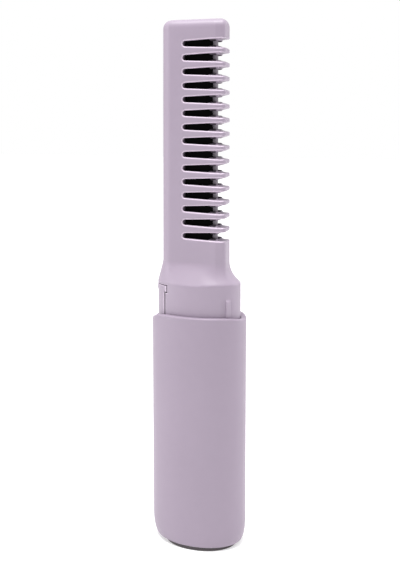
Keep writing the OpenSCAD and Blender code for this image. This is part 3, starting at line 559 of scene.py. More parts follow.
# The back shell lies over the board, so it also has the holes for the button, lights and screws
BUTTON_Z, LIGHT_Z, SCREW_Z, LIGHT_X, SCREW_X = 92.8, 85.2, 82.2, (-3, 0, 3), 12.6
BUTTON_HOLE, LIGHT_HOLE, SCREW_HOLE = 4.7, 0.85, 1.95
back_holes = [ring_hole(0, BUTTON_Z, BUTTON_HOLE, 0.2, 40, at_collar_x)]
back_holes += [ring_hole(x, LIGHT_Z, LIGHT_HOLE, 0.05, 16, at_collar_x) for x in LIGHT_X]
back_holes += [ring_hole(x, SCREW_Z, SCREW_HOLE, 0.1, 24, at_collar_x) for x in (-SCREW_X, SCREW_X)]
back_shell = lay_sheet("back_shell", [outline] + back_holes, shell_outer, shell_inner, shell_grid,
                       mirror=True)

# %% [markdown]
# ## The handle sleeve
# The sleeve is one oval tube, closed below except for a hole for the base, with low corners that are
# taller than they are wide. A lofted tube would do for the body, but the button and its three lights
# need clean round holes, so it is laid as a sheet too. Its two ends meet on a seam that is welded shut.

# %% Sleeve surfaces
SLEEVE_Z, OUT_A, OUT_B, IN_A, IN_B, FLOOR_Z, BEND_TOP = 1.65, 20.3, 12.25, 18.0, 9.95, 4.4, 12
CORNER_TALL, CORNER_TIP, CORNER_SPINE = 9.0, 1.9, 2.5
PLUG_A, PLUG_B, PLUG_GAP = 13.2, 9.35, 0.05
turns = np.linspace(0, 2 * math.pi, 4001)
round_x, round_y = oval(OUT_A, OUT_B, turns)
round_a = np.r_[0, np.cumsum(np.hypot(np.diff(round_x), np.diff(round_y)))]
turn_at = lambda a: np.interp(np.mod(a, round_a[-1]), round_a, turns)


def corner(z, low, wide, tall):
    up = np.clip((z - low) / tall, 0, 1)
    return wide - wide * np.sqrt(np.maximum(1 - (1 - up) ** 2, 0))


def rim_drop(side, t):
    """How far the rim bows down at a place, -1 to 1 from the spine side to the tooth side."""
    return np.where(side < 0, 3.4, 1.5) * np.abs(side) ** 7 * eased((t - 88) / (RIM_Z - 88))


def sleeve_outer(a, t):
    x, y = oval(1.0, OUT_B, turn_at(a))
    wide = np.where(x > 0, CORNER_TIP, CORNER_SPINE)
    return np.c_[x * (OUT_A - corner(t, SLEEVE_Z, wide, CORNER_TALL)), y, t - rim_drop(x, t)]


def sleeve_inner(a, t, at_edge):
    low = FLOOR_Z + (t - SLEEVE_Z) * (BEND_TOP - FLOOR_Z) / (BEND_TOP - SLEEVE_Z)
    z = np.where(t < BEND_TOP, low, t)
    x, y = oval(1.0, IN_B, turn_at(a))
    return np.c_[x * (IN_A - corner(z, FLOOR_Z, 2.0, 7.0)), y, z - rim_drop(x, t)]


def sleeve_flank(p):
    """Over the rim at the top, and along the floor and up to the inside at the bottom."""
    angle, top = turn_at(p[:, 0]), (p[:, 1] > 50)[:, None]
    drop = rim_drop(oval(1.0, 1.0, angle)[0], p[:, 1])
    ring = lambda wall, z: np.c_[(*oval(IN_A + wall, IN_B + wall, angle), z - drop)]
    hole = lambda z: np.c_[(*oval(PLUG_A + PLUG_GAP, PLUG_B + PLUG_GAP, angle), z - drop)]
    floor = sleeve_inner(p[:, 0], np.full(len(p), SLEEVE_Z), True)
    return [np.where(top, ring(0.3, RIM_Z), hole(SLEEVE_Z)),
            np.where(top, ring(0.08, RIM_Z - 0.09), hole(FLOOR_Z)),
            np.where(top, ring(0, RIM_Z - 0.3), floor)]


sleeve_cols = [float(v) for v in np.interp(np.linspace(0, 2 * math.pi, 97), turns, round_a)]
sleeve_rows = marks(SLEEVE_Z + CORNER_TALL - CORNER_TALL * np.cos(np.linspace(0, math.pi / 2, 15)),
                    np.arange(14, 84, 4), np.arange(84, 98.6, 0.8), RIM_Z)
print("girth of the sleeve", round(float(round_a[-1]), 1), "mm")

# %% The sleeve with its holes
def closed_band(cols, rows, round_low, round_high):
    """The outline of a tube's pattern, whose two upright edges are one seam."""
    low, high = rows[0], rows[-1]
    middle = [r for r in rows if low + 0.9 < r < high - 0.9]
    points = [(c, low) for c in cols] + [(cols[-1], r) for r in middle]
    points += [(c, high) for c in cols[::-1]] + [(cols[0], r) for r in middle[::-1]]
    n, m = len(cols), len(middle)
    rounds = [round_low] * n + [0.0] * m + [round_high] * n + [0.0] * m
    seam = [False] * (n - 1) + [True] * (m + 1) + [False] * (n - 1) + [True] * (m + 1)
    return {"points": points, "round": rounds, "seam": seam, "flank": sleeve_flank}


# Seen from the back the pattern runs the other way, so a hole there is placed at minus x
back_half = (turns > 0) & (turns < math.pi)
at_back = lambda x: np.interp(x, -round_x[back_half], round_a[back_half])
sleeve_loops = [closed_band(sleeve_cols, sleeve_rows, 0.45, 0.6),
                ring_hole(0, BUTTON_Z, BUTTON_HOLE, 0.35, 48, at_back)]
sleeve_loops += [ring_hole(-x, LIGHT_Z, LIGHT_HOLE, 0.12, 20, at_back) for x in LIGHT_X]
sleeve = lay_sheet("sleeve", sleeve_loops, sleeve_outer, sleeve_inner, crossings(sleeve_cols, sleeve_rows))

# %% [markdown]
# ## The base
# A darker foot closes the handle. It is a flat plate with a plug that goes up into the sleeve, and it is
# cut for the charging socket, two screws and the charge light. Its pattern is the foot seen from below.

# %% Base plate
BASE_SPINE, BASE_TIP, BASE_B, BASE_TOP, PLUG_TOP = 14.9, 16.9, 11.8, 1.6, 4.8
SOCKET_HALF, SOCKET_R, BASE_SCREW_X, BASE_LIGHT_Y = 2.89, 1.83, 10.8, 4.6
base_half = lambda a: np.where(a > 0, BASE_SPINE, BASE_TIP)


def base_outer(a, t):
    return np.c_[-a, t, np.zeros(len(a))]


def base_inner(a, t, at_edge):
    half_w = base_half(a)
    far = ((np.abs(a) / half_w) ** FULLNESS + (np.abs(t) / BASE_B) ** FULLNESS) ** (1 / FULLNESS)
    pull = np.clip((far - 0.86) / 0.14, 0, 1)
    return np.c_[-a * (1 - pull * (1 - PLUG_A / half_w)), t * (1 - pull * (1 - PLUG_B / BASE_B)),
                 np.full(len(a), PLUG_TOP)]


def base_flank(p):
    plug, level = base_inner(*p.T, True), np.full(len(p), BASE_TOP)
    return [np.c_[-p[:, 0], p[:, 1], level], np.c_[plug[:, :2], level], plug]


def around(count, start=0.0):
    return np.linspace(0, 2 * math.pi, count + 1)[:-1] + start


round_edge = np.c_[oval(1.0, BASE_B, around(96))]
round_edge[:, 0] *= base_half(round_edge[:, 0])
turn = around(40, 0.001)
socket = np.c_[np.sign(np.cos(turn)) * SOCKET_HALF + SOCKET_R * np.cos(turn), SOCKET_R * np.sin(turn)]
base_loops = [{"points": round_edge, "round": np.full(96, 0.4), "flank": base_flank},
              {"points": socket[::-1], "round": np.full(40, 0.25)}]
base_loops += [ring_hole(x, 0, SCREW_HOLE, 0.15) for x in (-BASE_SCREW_X, BASE_SCREW_X)]
base_loops += [ring_hole(0, BASE_LIGHT_Y, 0.95, 0.1, 20)]
base = lay_sheet("base", base_loops, base_outer, base_inner,
                 crossings(np.arange(-16, 16.1, 1.0), np.arange(-11, 11.1, 1.0)), room=0.35)

# %% [markdown]
# ## The travel cap's latch
# On the spine side a tongue with a T-shaped head lies in a slot of the collar. It is free on three sides
# and bends inwards when the travel cap goes over it, so it is a piece of its own with a gap all round.

# %% Latch tongue
LATCH_LOW, LATCH_TOP, LATCH_STEP, BEAD = 93.8, 111.2, 108.45, 0.36


def latch_outer(a, t):
    """The collar's curve, a little sunk, with a half-round bead along the head."""
    middle, half = (LATCH_STEP + LATCH_TOP) / 2, (LATCH_TOP - LATCH_STEP) / 2
    lift = BEAD * np.sqrt(np.clip(1 - ((t - middle) / half) ** 2, 0, 1))
    x = -oval_side(COL_A - 0.15, COL_B - 0.15, a)
    nx, ny = oval_normal(COL_A, COL_B, x, -a)
    return np.c_[x + lift * nx, -a + lift * ny * 0.2, t]


def latch_inner(a, t, at_edge):
    return np.c_[-np.maximum(oval_side(CAV_A, CAV_B, a), 10.45), -a, t]


latch_cols = [float(v) for v in np.linspace(-T_HALF, T_HALF, 31)]
latch_rows = marks(LATCH_LOW, np.arange(95, 107.4, 1.2), 107.9, 108.25, 108.6, 109.1, 109.65, 110.2, 110.7,
                   LATCH_TOP)
right = [(TONGUE_HALF, LATCH_LOW), (TONGUE_HALF, LATCH_STEP), (T_HALF, LATCH_STEP), (T_HALF, LATCH_TOP)]
latch_corners = [(-TONGUE_HALF, LATCH_LOW)] + right + [(-a, t) for a, t in right[:0:-1]]
latch_points, latch_rounds = walk(latch_corners, [0.1, 0.25, 0.15, 0.3, 0.45, 0.3, 0.15, 0.25],
                                  latch_cols, latch_rows)
latch = lay_sheet("latch", [{"points": latch_points, "round": latch_rounds}], latch_outer, latch_inner,
                  crossings(latch_cols, latch_rows), room=0.2)

# %% [markdown]
# ## The button
# The power button is turned around its own axis, so one line from its middle outwards is enough: a
# shallow dish for the finger, a rounded edge, the straight side, and the hidden flange that holds it in.

# %% Turned pieces
def turned(name, line, centre, axis, count=64):
    """A closed body from a line of (radius, height) that starts and ends on the axis."""
    points, faces = [], []
    axis = Vector(axis).normalized()
    side = axis.orthogonal().normalized()
    across = axis.cross(side)
    for r, h in line:
        for k in range(count):
            t = 2 * math.pi * k / count
            points.append(Vector(centre) + axis * h + (side * math.cos(t) + across * math.sin(t)) * r)
    for i in range(len(line) - 1):
        for k in range(count):
            j = (k + 1) % count
            faces.append((i * count + k, i * count + j, (i + 1) * count + j, (i + 1) * count + k))
    return make_object(name, points, faces)


BUTTON_R, BUTTON_FACE, FLANGE_R, FLANGE, STEM_R, STEM_END = 4.4, 11.95, 5.5, (7.25, 6.45), 1.6, 5.6
button_line = [(r, BUTTON_FACE - 0.25 + r * r / 60) for r in np.linspace(0, 3.8, 12)]
button_line += [(BUTTON_R - 0.4 + 0.4 * math.sin(t), BUTTON_FACE - 0.4 + 0.4 * math.cos(t))
                for t in np.linspace(0, math.pi / 2, 8)]
button_line += [(BUTTON_R, FLANGE[0] + 0.05), (BUTTON_R + 0.05, FLANGE[0]), (FLANGE_R, FLANGE[0]),
                (FLANGE_R, FLANGE[1]), (STEM_R, FLANGE[1]), (STEM_R, STEM_END), (0, STEM_END)]
button = turned("button", button_line, (0, 0, BUTTON_Z), (0, 1, 0))

# %% [markdown]
# ## Pieces that a node tree makes
# Screws, heating stones and small lights come in rows of equal pieces, and the bar that keeps the hot
# plates off the skin is one round-nosed section carried up the head. Both are Geometry Nodes trees: one
# puts a piece on every point of a line, the other pulls one side of a circle back and sweeps it. A tree
# is then turned into a plain mesh, because copies are lost when the model is written to a file.

# %% A node tree from a list of its nodes and links
def grow(name, sockets, nodes, settings, links):
    """A tree that ends in Realize Instances and Set Material. A link is (node, output, node, input)."""
    tree = bpy.data.node_groups.new(name, "GeometryNodeTree")
    for label, kind in sockets.items():
        tree.interface.new_socket(label, in_out="INPUT", socket_type="NodeSocket" + kind)
    tree.interface.new_socket("Made", in_out="OUTPUT", socket_type="NodeSocketGeometry")
    nodes = nodes | {"given": "NodeGroupInput", "real": "GeometryNodeRealizeInstances",
                     "paint": "GeometryNodeSetMaterial", "made": "NodeGroupOutput"}
    parts = {label: tree.nodes.new(kind) for label, kind in nodes.items()}
    for (label, key), value in settings.items():
        if key.islower():
            setattr(parts[label], key, value)
        else:
            parts[label].inputs[key].default_value = value
    for one, out, two, into in links + [("real", "Geometry", "paint", "Geometry"),
                                        ("given", "Finish", "paint", "Material"),
                                        ("paint", "Geometry", "made", "Made")]:
        tree.links.new(parts[one].outputs[out], parts[two].inputs[into])
    return tree


def plain_mesh(obj, tree, values):
    """Runs a tree on an object and keeps the result as its mesh."""
    modifier = obj.modifiers.new("nodes", "NODES")
    modifier.node_group = tree
    ids = {s.name: s.identifier for s in tree.interface.items_tree if s.in_out == "INPUT"}
    for name, value in values.items():
        modifier[ids[name]] = value
    bpy.context.view_layer.update()
    result = bpy.data.meshes.new_from_object(obj.evaluated_get(bpy.context.evaluated_depsgraph_get()))
    obj.modifiers.clear()
    obj.data = result
    result.name = obj.name


# %% The row and the swept bar
ROW = grow(
    "row_of_pieces",
    {"Piece": "Geometry", "Count": "Int", "Start": "Vector", "Step": "Vector", "Finish": "Material"},
    {"line": "GeometryNodeMeshLine", "place": "GeometryNodeInstanceOnPoints"}, {("line", "mode"): "OFFSET"},
    [("given", "Count", "line", "Count"), ("given", "Start", "line", "Start Location"),
     ("given", "Step", "line", "Offset"), ("line", "Mesh", "place", "Points"),
     ("given", "Piece", "place", "Instance"), ("place", "Instances", "real", "Geometry")])
BAR = grow(
    "swept_bar",
    {"Nose Radius": "Float", "Back": "Vector", "Foot": "Vector", "Tip": "Vector", "Steps": "Int",
     "Finish": "Material"},
    {"nose": "GeometryNodeCurvePrimitiveCircle", "pull": "GeometryNodeSetPosition",
     "where": "GeometryNodeInputPosition", "split": "ShaderNodeSeparateXYZ", "behind": "FunctionNodeCompare",
     "line": "GeometryNodeCurvePrimitiveLine", "evenly": "GeometryNodeResampleCurve",
     "sweep": "GeometryNodeCurveToMesh"},
    {("nose", "Resolution"): 48, ("behind", "operation"): "LESS_THAN", ("behind", "B"): -1e-6,
     ("sweep", "Fill Caps"): True},
    [("given", "Nose Radius", "nose", "Radius"), ("nose", "Curve", "pull", "Geometry"),
     ("where", "Position", "split", 0), ("split", "X", "behind", "A"),
     ("behind", "Result", "pull", "Selection"), ("given", "Back", "pull", "Offset"),
     ("given", "Foot", "line", "Start"), ("given", "Tip", "line", "End"),
     ("line", "Curve", "evenly", "Curve"), ("given", "Steps", "evenly", "Count"),
     ("evenly", "Curve", "sweep", "Curve"), ("pull", "Geometry", "sweep", "Profile Curve"),
     ("sweep", "Mesh", "real", "Geometry")])
print("trees", [tree.name for tree in (ROW, BAR)])

# %% [markdown]
# ## One screw
# A screw has a flat head with a cross cut into it, and a threaded shank. The head is one more flat
# pattern, a disc with a cross-shaped hole over a small floor, and the shank is turned with its ridges.

# %% A screw, head down, pointing up
HEAD_R, HEAD_H, ARM, ARM_HALF, CROSS_DEEP = 1.8, 1.2, 0.99, 0.25, 0.7
SHANK_R, THREAD, THREAD_STEP, POINT_R = 0.85, 0.14, 0.25, 0.25


def make_screw(name, length):
    a, w = ARM, ARM_HALF
    cross = [(a, w), (w, w), (w, a), (-w, a), (-w, w), (-a, w)]
    cross += [(-x, -y) for x, y in cross]
    cross_points, cross_rounds = walk(cross[::-1], [0.06] * 12, [-0.6, 0.6], [-0.6, 0.6])
    rim = {"points": HEAD_R * np.c_[np.cos(around(48)), np.sin(around(48))], "round": np.full(48, 0.3)}
    steps = np.arange(-1.6, 1.7, 0.4)
    cap = lay_sheet(name, [rim, {"points": cross_points, "round": cross_rounds}],
                    base_outer, lambda p, q, e: np.c_[-p, q, np.full(len(p), HEAD_H)],
                    crossings(steps, steps), room=0.12)
    line = [(0, CROSS_DEEP), (1.1, CROSS_DEEP), (1.1, HEAD_H - 0.1), (SHANK_R, HEAD_H)]
    line += [(SHANK_R + THREAD * (i % 2), HEAD_H + THREAD_STEP * i)
             for i in range(int((length - HEAD_H - 0.9) / THREAD_STEP))]
    shank = turned(name + "_shank", line + [(POINT_R, length - 0.1), (0, length)], (0, 0, 0), (0, 0, 1), 24)
    bpy.ops.object.select_all(action="DESELECT")
    shank.select_set(True)
    cap.select_set(True)
    bpy.context.view_layer.objects.active = cap
    bpy.ops.object.join()
    return cap


# %% Small bricks with rounded edges
def brick(name, size, edge):
    bm = bmesh.new()
    bmesh.ops.create_cube(bm, size=1.0)
    bmesh.ops.scale(bm, vec=[s * MM for s in size], verts=bm.verts)
    bmesh.ops.bevel(bm, geom=bm.edges[:], offset=edge * MM, segments=3, profile=0.5, affect="EDGES")
    mesh = bpy.data.meshes.new(name)
    bm.to_mesh(mesh)
    bm.free()
    shade(mesh, 50)
    return in_scene(name, mesh)


print("small pieces ready")

# %% [markdown]
# ## Finishes
# Each finish is a small recipe of shader nodes. To keep the sums readable, a socket is wrapped so that
# it can be added and multiplied like a number, and every other node is added with one method.

# %% Sockets as numbers
class Wire:
    """A shader value that can stand in a sum. Colours don't go through it: they are blended."""

    def __init__(self, tree, socket):
        self.tree, self.socket = tree, socket

    def join(self, how, other, swap=False):
        node = self.tree.nodes.new("ShaderNodeMath")
        node.operation = how
        for end, value in zip(node.inputs, (other, self) if swap else (self, other)):
            if isinstance(value, Wire):
                self.tree.links.new(value.socket, end)
            else:
                end.default_value = value
        return Wire(self.tree, node.outputs[0])

    def at_least(self, low):
        return self.join("MAXIMUM", low)

    def __gt__(self, other):
        return self.join("GREATER_THAN", other)


# Each sum also works with the plain number in front, as in 1 - mask
for sign, how in {"add": "ADD", "sub": "SUBTRACT", "mul": "MULTIPLY", "pow": "POWER"}.items():
    setattr(Wire, f"__{sign}__", lambda self, other, how=how: self.join(how, other))
    setattr(Wire, f"__r{sign}__", lambda self, other, how=how: self.join(how, other, True))
print("sums of sockets ready")

# %% A material with its shader
FINISHES = {}


def linear(rgb, times=1.0):
    """A screen colour, 0 to 255, as the light it stands for, made lighter or darker if asked."""
    light = [v / 255 / 12.92 if v < 10.3 else ((v / 255 + 0.055) / 1.055) ** 2.4 for v in rgb]
    return (*(min(v * times, 1) for v in light), 1.0)


class Finish:
    def __init__(self, name, **constants):
        self.name, self.material = name, bpy.data.materials.new(name)
        self.material.use_nodes = True
        self.tree = self.material.node_tree
        self.shader = self.tree.nodes["Principled BSDF"]
        for label, value in constants.items():
            self.input(label).default_value = value
        self.place = self.node("ShaderNodeTexCoord", out="Object")

    def input(self, label):
        return self.shader.inputs[label.replace("_", " ").title().replace("Ior", "IOR")]

    def node(self, kind, settings=(), inputs=(), out=0):
        """Adds a node: its type and settings first, then its sockets."""
        made = self.tree.nodes.new(kind)
        for key, value in dict(settings).items():
            setattr(made, key, value)
        for key, value in dict(inputs).items():
            if isinstance(value, Wire):
                self.tree.links.new(value.socket, made.inputs[key])
            else:
                made.inputs[key].default_value = value
        return Wire(self.tree, made.outputs[out])

    def noise(self, size, detail=2.0, stretch=(1, 1, 1), rough=0.5):
        """Soft random marks of that size in millimetres, stretched if asked."""
        where = self.node("ShaderNodeMapping", (), {"Vector": self.place, "Scale": stretch})
        return self.node("ShaderNodeTexNoise", (), {"Vector": where, "Scale": 1000 / size, "Detail": detail,
                                                    "Roughness": rough}, "Fac")

    def blend(self, one, two, factor):
        return self.node("ShaderNodeMix", {"data_type": "RGBA"}, {0: factor, 6: one, 7: two}, 2)

    def bump(self, height, strength, depth_mm):
        return self.node("ShaderNodeBump", (), {"Height": height, "Strength": strength,
                                                "Distance": depth_mm * MM}, "Normal")

    def put(self, **wires):
        """Links the shader's inputs and files the finish under its name."""
        for label, wire in wires.items():
            self.tree.links.new(wire.socket, self.input(label))
        FINISHES[self.name] = self.material


print("white as light", linear((255, 255, 255)))

# %% [markdown]
# ## Satin plastic
# The shells are dyed plastic from a steel mould with a fine spark-eroded grain. Close up there are three
# things to see: a very slight cloudiness of the dye, a grain of about a third of a millimetre, and a
# gloss that varies a little with it. Paint would look flat, so all three are built from soft noise. The
# shells also read the depth of their points: a painted highlight lightens their rounded edges, and
# painted shade darkens their slot walls and inner faces.

# %% Moulded plastic
# Painted highlight colour for the shells' rounded edges, and painted shade colour for their slot walls and
# inner faces
PAINTED_EDGE_HIGHLIGHT, PAINTED_SLOT_SHADE = (206, 190, 207), (14, 9, 14)
# Where the painted slot shade ends across the head, and how fast it fades
PAINTED_SHADE_END, PAINTED_SHADE_FADE = 19.5, 2.3  # the dark ends at 19.5 / 2.3 = 8.5 mm, and fades over 1 / 2.3 mm


def moulded(name, rgb, rough=0.42, grain=0.35, cloud=0.035, relief=0.12, edge_highlight_and_slot_shade=False, **constants):
    f = Finish(name, **constants)
    drift = f.noise(28, 3) * 0.7 + f.noise(3.5, 2) * 0.3
    fine = f.noise(grain, 3, rough=0.6)
    scuff = (f.noise(1.4, 4, (1, 1, 0.12)) > 0.66) * 0.05
    dye_and_painted_light = f.blend(linear(rgb, 1 - cloud * 1.6), linear(rgb, 1 + cloud * 1.6), drift)
    if edge_highlight_and_slot_shade:
        # The painted slot shade ends at the nose of the guard bar, so that no painted dark wall shows beyond
        # it
        across, back = (f.node("ShaderNodeSeparateXYZ", (), {0: f.place}, axis) for axis in "XY")
        across = across + back.at_least(0.0) * 0.5
        guard = f.node("ShaderNodeMath", {"operation": "SUBTRACT", "use_clamp": True},
                       {0: PAINTED_SHADE_END, 1: across * (PAINTED_SHADE_FADE / MM)})
        depth = f.node("ShaderNodeAttribute", {"attribute_name": "depth"}, (), "Fac")
        # Painted highlight: the rounded edges are lightened, most at the middle of their rounding
        dye_and_painted_light = f.blend(dye_and_painted_light, linear(PAINTED_EDGE_HIGHLIGHT), (depth * -1.0).at_least(0.0) * 0.8)
        # Painted shade: the slot walls and inner faces are darkened, up to the guard bar's nose
        dye_and_painted_light = f.blend(dye_and_painted_light, linear(PAINTED_SLOT_SHADE), depth.at_least(0.0) ** 0.35 * guard)
    f.put(base_color=dye_and_painted_light, roughness=rough - 0.04 + fine * 0.08 + scuff, normal=f.bump(fine, relief, 0.02))


# %% [markdown]
# ## Metal, board and wire
# Metal parts are stamped or turned, so their fine marks run in one direction. The circuit boards show
# copper tracks through their green lacquer, and wires have a smooth, slightly waxy skin.

# %% The other kinds of finish
def worked_metal(name, rgb, rough=0.3, grain=(1, 1, 0.05)):
    f = Finish(name, metallic=1.0)
    lines, spots = f.noise(0.25, 3, grain), f.noise(2.2, 3)
    tone = f.blend(linear(rgb, 0.86), linear(rgb, 1.08), lines * 0.6 + spots * 0.4)
    f.put(base_color=tone, roughness=rough - 0.06 + lines * 0.1 + spots * 0.06,
          normal=f.bump(lines, 0.1, 0.01))


def lacquered_board(name):
    f = Finish(name)
    grid = f.node("ShaderNodeTexBrick", (), {"Vector": f.place, "Scale": 1000 / 2.6, "Mortar Size": 0.055,
                                             "Mortar Smooth": 0.1}, "Fac")
    weave = f.noise(0.5, 2)
    lacquer = f.blend(linear((18, 74, 44)), linear((28, 96, 58)), weave)
    f.put(base_color=f.blend(lacquer, linear((64, 128, 74)), grid), roughness=0.26 + weave * 0.1,
          normal=f.bump(grid + weave * 0.2, 0.3, 0.03))


def clear_plastic(name, rgb):
    f = Finish(name, transmission_weight=0.55, ior=1.49)
    haze = f.noise(1.2, 3)
    f.put(base_color=f.blend(linear(rgb, 0.94), linear(rgb), haze), roughness=0.16 + haze * 0.1,
          normal=f.bump(f.noise(0.3, 2), 0.05, 0.01))


def speckled(name, rgb, spot_rgb, size, share=0.6, rough=0.6, relief=0.3):
    """Ceramic, ferrite and foam: a body with grains or pores of another tone."""
    f = Finish(name)
    cells = f.node("ShaderNodeTexVoronoi", (), {"Vector": f.place, "Scale": 1000 / size}, "Distance")
    mottle = f.noise(size * 3, 3)
    body = f.blend(linear(rgb), linear(spot_rgb), (cells > share) * 0.8)
    f.put(base_color=f.blend(body, linear(rgb), mottle * 0.5), roughness=rough - 0.05 + mottle * 0.12,
          normal=f.bump(cells, relief, 0.05))


def coated_plate(name):
    """The heat plates: aluminium with a black non-stick coat that has a faint orange-peel surface."""
    f = Finish(name, specular_ior_level=0.02)
    peel, dust = f.noise(0.9, 3), f.noise(0.18, 2)
    f.put(base_color=f.blend(linear((3, 3, 3)), linear((9, 8, 9)), peel * 0.6 + dust * 0.4),
          roughness=0.5 + peel * 0.12, normal=f.bump(peel, 0.2, 0.02))


print("finish recipes ready")

# %% Every finish of the comb
# The shells get the painted edge highlight and the painted slot shade
moulded("lilac_shell", (148, 135, 151), edge_highlight_and_slot_shade=True)
# Painted shade: the handle's lilac is a touch darker than the shells', so that its front reads darker
moulded("lilac_handle", (144, 131, 147), rough=0.44)
# Painted shade: the guard bar's lilac is darker than the shells', for the shade it stands in between the
# teeth
moulded("lilac_guard", (128, 119, 130), rough=0.5, grain=0.25)
moulded("lilac_button", (149, 137, 152), rough=0.34, grain=0.2)
moulded("base_plastic", (56, 49, 53), rough=0.5, grain=0.3)
moulded("black_plastic", (26, 26, 28), rough=0.45)
moulded("cradle_plastic", (212, 210, 204), rough=0.5, grain=0.4)
moulded("plunger_white", (226, 224, 218), rough=0.4)
moulded("chip_black", (34, 34, 36), rough=0.55, grain=0.12, relief=0.25)
moulded("capacitor_tan", (156, 124, 86), rough=0.4, grain=0.15)
moulded("led_yellow", (238, 226, 150), rough=0.3, grain=0.2)
moulded("cell_wrap", (74, 126, 150), rough=0.28, grain=0.5, cloud=0.05)
moulded("seal_rubber", (58, 55, 60), rough=0.7, grain=0.2, relief=0.3)
for skin, dyed in {"battery": (168, 30, 30), "charge": (30, 30, 32), "sensor": (52, 60, 140)}.items():
    moulded(skin + "_wire", dyed, rough=0.36, grain=0.3)
worked_metal("screw_steel", (196, 197, 200), 0.28, (1, 1, 1))
worked_metal("socket_steel", (190, 192, 196), 0.25)
worked_metal("cell_can", (180, 182, 186))
worked_metal("nickel", (198, 194, 184), 0.32, (0.05, 1, 1))
worked_metal("electrode_brass", (214, 176, 98))
worked_metal("fuse_body", (200, 198, 190), 0.3, (1, 1, 1))
speckled("coil_ferrite", (70, 68, 70), (44, 42, 44), 0.3, 0.5)
speckled("foam", (48, 48, 50), (20, 20, 22), 0.45, 0.45, 0.9, 0.6)
speckled("ceramic_chip", (206, 200, 186), (170, 162, 148), 0.22, 0.55)
speckled("sensor_bead", (92, 74, 60), (60, 48, 40), 0.2, 0.5, 0.35)
speckled("heater_wire", (196, 186, 164), (160, 150, 130), 0.25, 0.5, 0.7)
clear_plastic("clear_light", (236, 236, 240))
clear_plastic("film_amber", (206, 140, 44))
lacquered_board("board_green")
coated_plate("heat_plate")
print("finishes", len(FINISHES))


def paint(obj, finish):
    if not obj.material_slots:
        obj.data.materials.append(None)
    for held in obj.material_slots:
        held.material = FINISHES[finish]


# %% [markdown]
# ## Rows of small pieces
# Now the rows are made. The screws of the base are seen in its two wells; the others, the heating
# stones, the three lights and the three capacitors, are inside, where a half-open comb would show them.

# %% Make the rows
def box_mm(node_name):
    low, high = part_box(node_name)
    return np.array(low) / MM, np.array(high) / MM


def make_row(name, node_name, piece, count, start, step):
    plain_mesh(piece, ROW, {"Count": count, "Start": [v * MM for v in start],
                            "Step": [v * MM for v in step], "Finish": FINISHES[finish_of[node_name]]})
    piece.name = name
    print(name, "faces", len(piece.data.polygons))
    return piece


def screw_pair(name, node_name, axis, head_end, tilt, hole=None):
    """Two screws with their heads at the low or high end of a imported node's box.

    They stand at the ends of the box along X, or in a hole at (x, z) and its mirror image.
    """
    box = low, high = box_mm(node_name)
    screw = make_screw(name, float(high[axis] - low[axis]))
    screw.data.transform(Matrix.Rotation(math.radians(tilt), 4, "X"))
    start, across = (low + high) / 2, high[0] - low[0] - 2 * HEAD_R
    start[0] = low[0] + HEAD_R
    if hole:
        start[0], start[2], across = -hole[0], hole[1], 2 * hole[0]
    start[axis] = box[head_end][axis]
    return make_row(name, node_name, screw, 2, start, (across, 0, 0))


def row_of_bricks(name, node_name, count, axis, length, edge):
    """Bricks of equal size along one axis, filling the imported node's box."""
    low, high = box_mm(node_name)
    size, step, start = high - low, np.zeros(3), (low + high) / 2
    step[axis] = (size[axis] - length) / (count - 1)
    start[axis] = low[axis] + length / 2
    size[axis] = length
    return make_row(name, node_name, brick(name, size, edge), count, start, step)


base_screws = screw_pair("screws_base", "base_screws", 2, 0, 0, (BASE_SCREW_X, 0))
shell_screws = screw_pair("screws_shell", "shell_screws", 1, 1, 90, (SCREW_X, SCREW_Z))
board_screws = screw_pair("screws_board", "board_screws", 1, 0, -90)
stones = row_of_bricks("heating_stones", "heating_chips", 6, 2, 11.0, 0.2)
lights = row_of_bricks("small_lights", "status_leds", 3, 0, 1.6, 0.12)
caps = row_of_bricks("small_capacitors", "capacitors", 3, 2, 1.5, 0.15)

# %% Make the guard bar
GUARD_REACH = 8.1
guard_low, guard_high = box_mm("nose_guard")
nose_r = (guard_high[1] - guard_low[1]) / 2
nose_x = GUARD_REACH - nose_r
guard = in_scene("guard_bar", bpy.data.meshes.new("guard_bar"))
plain_mesh(guard, BAR, {"Nose Radius": float(nose_r) * MM,
                        "Back": ((guard_low[0] + nose_r - nose_x) * MM, 0.0, 0.0),
                        "Foot": (nose_x * MM, 0.0, guard_low[2] * MM),
                        "Tip": (nose_x * MM, 0.0, guard_high[2] * MM),
                        "Steps": 2 * GAP_COUNT + 1, "Finish": FINISHES["lilac_guard"]})
shade(guard.data, 50)
reach = [v.co.x / MM for v in guard.data.vertices]
print("guard bar from", round(min(reach), 2), "to", round(max(reach), 2), "mm across")

# %% [markdown]
# ## Hand the pieces to the frame
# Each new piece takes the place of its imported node, and has the body and the finish that the record gives
# that node. The button and the latch have bodies of their own, because they really move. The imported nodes
# inside need no finer shape, so they stay and only get their finish.

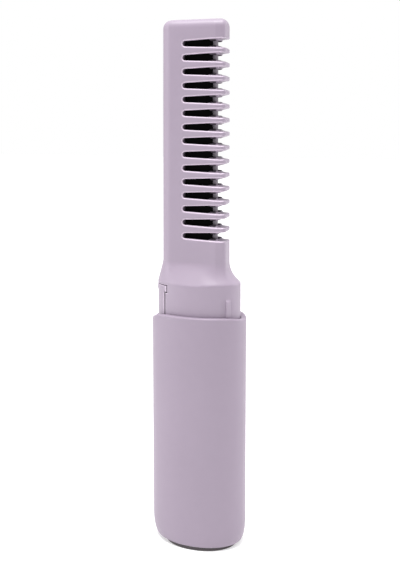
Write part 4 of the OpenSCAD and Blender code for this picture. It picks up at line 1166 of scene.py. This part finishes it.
# %% Ride, replace and finish
PIECES = {
    "comb_front_shell": front_shell, "comb_back_shell": back_shell, "handle_sleeve": sleeve,
    "base_cap": base, "cap_latch": latch, "power_button": button, "base_screws": base_screws,
    "shell_screws": shell_screws, "board_screws": board_screws, "heating_chips": stones,
    "status_leds": lights, "capacitors": caps, "nose_guard": guard,
}
for node_name, piece in PIECES.items():
    body, finish_name = body_of[node_name], finish_of[node_name]
    paint(piece, finish_name)
    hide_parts(node_name)
    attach(piece, body)
kept_nodes = sorted(set(frame["nodes"]) - set(PIECES))
for node_name in kept_nodes:
    paint(frame["nodes"][node_name], finish_of[node_name])
print("pieces handed over", len(PIECES), "packed nodes with a finish", len(kept_nodes))

# %% [markdown]
# ## Floor and light
# The comb stands on a plain white table in a tent of white light, as small goods are usually shown. The
# tent alone would leave it flat, so a soft lamp stands on either side and one hangs above the shoulder.
# The tent is darker where the camera looks from, and lighter above, so the front keeps its colour.

# %% Stage
floor_mesh = bpy.data.meshes.new("floor")
floor_mesh.from_pydata([(-3, -3, 0), (3, -3, 0), (3, 3, 0), (-3, 3, 0)], [], [(0, 1, 2, 3)])
floor = in_scene("floor", floor_mesh)
moulded("floor_paint", (205, 205, 205), rough=0.8, grain=1.2, cloud=0.004, relief=0.02,
        emission_color=(1, 1, 1, 1), emission_strength=0.45)
paint(floor, "floor_paint")

world = bpy.data.worlds.new("tent")
world.use_nodes = True
sky = world.node_tree
way = sky.nodes.new("ShaderNodeSeparateXYZ")
sky.links.new(sky.nodes.new("ShaderNodeTexCoord").outputs["Generated"], way.inputs[0])
east, north, up = (Wire(sky, socket) for socket in way.outputs)
before = (east * 0.42 - north * 0.907).at_least(0.0)
glow = 1.0 - before ** 2 * 0.95 + up.at_least(0.0) ** 3 * 0.8
sky.nodes["Background"].inputs["Color"].default_value = (1, 1, 1, 1)
sky.links.new(glow.socket, sky.nodes["Background"].inputs["Strength"])
bpy.context.scene.world = world


def soft_lamp(name, place, aim_z, size, power):
    data = bpy.data.lights.new(name, "AREA")
    data.shape, data.size, data.size_y, data.energy = "RECTANGLE", *size, power
    lamp = in_scene(name, data)
    lamp.location = place
    lamp.rotation_euler = (Vector((0, 0, aim_z)) - Vector(place)).to_track_quat("-Z", "Y").to_euler()


soft_lamp("lamp_left", (-0.57, -0.36, 0.22), 0.12, (0.3, 0.6), 1.35)
soft_lamp("lamp_right", (0.64, 0.16, 0.24), 0.12, (0.3, 0.6), 1.6)
soft_lamp("lamp_above", (-0.02, -0.22, 1.02), 0.11, (0.4, 0.3), 9.0)
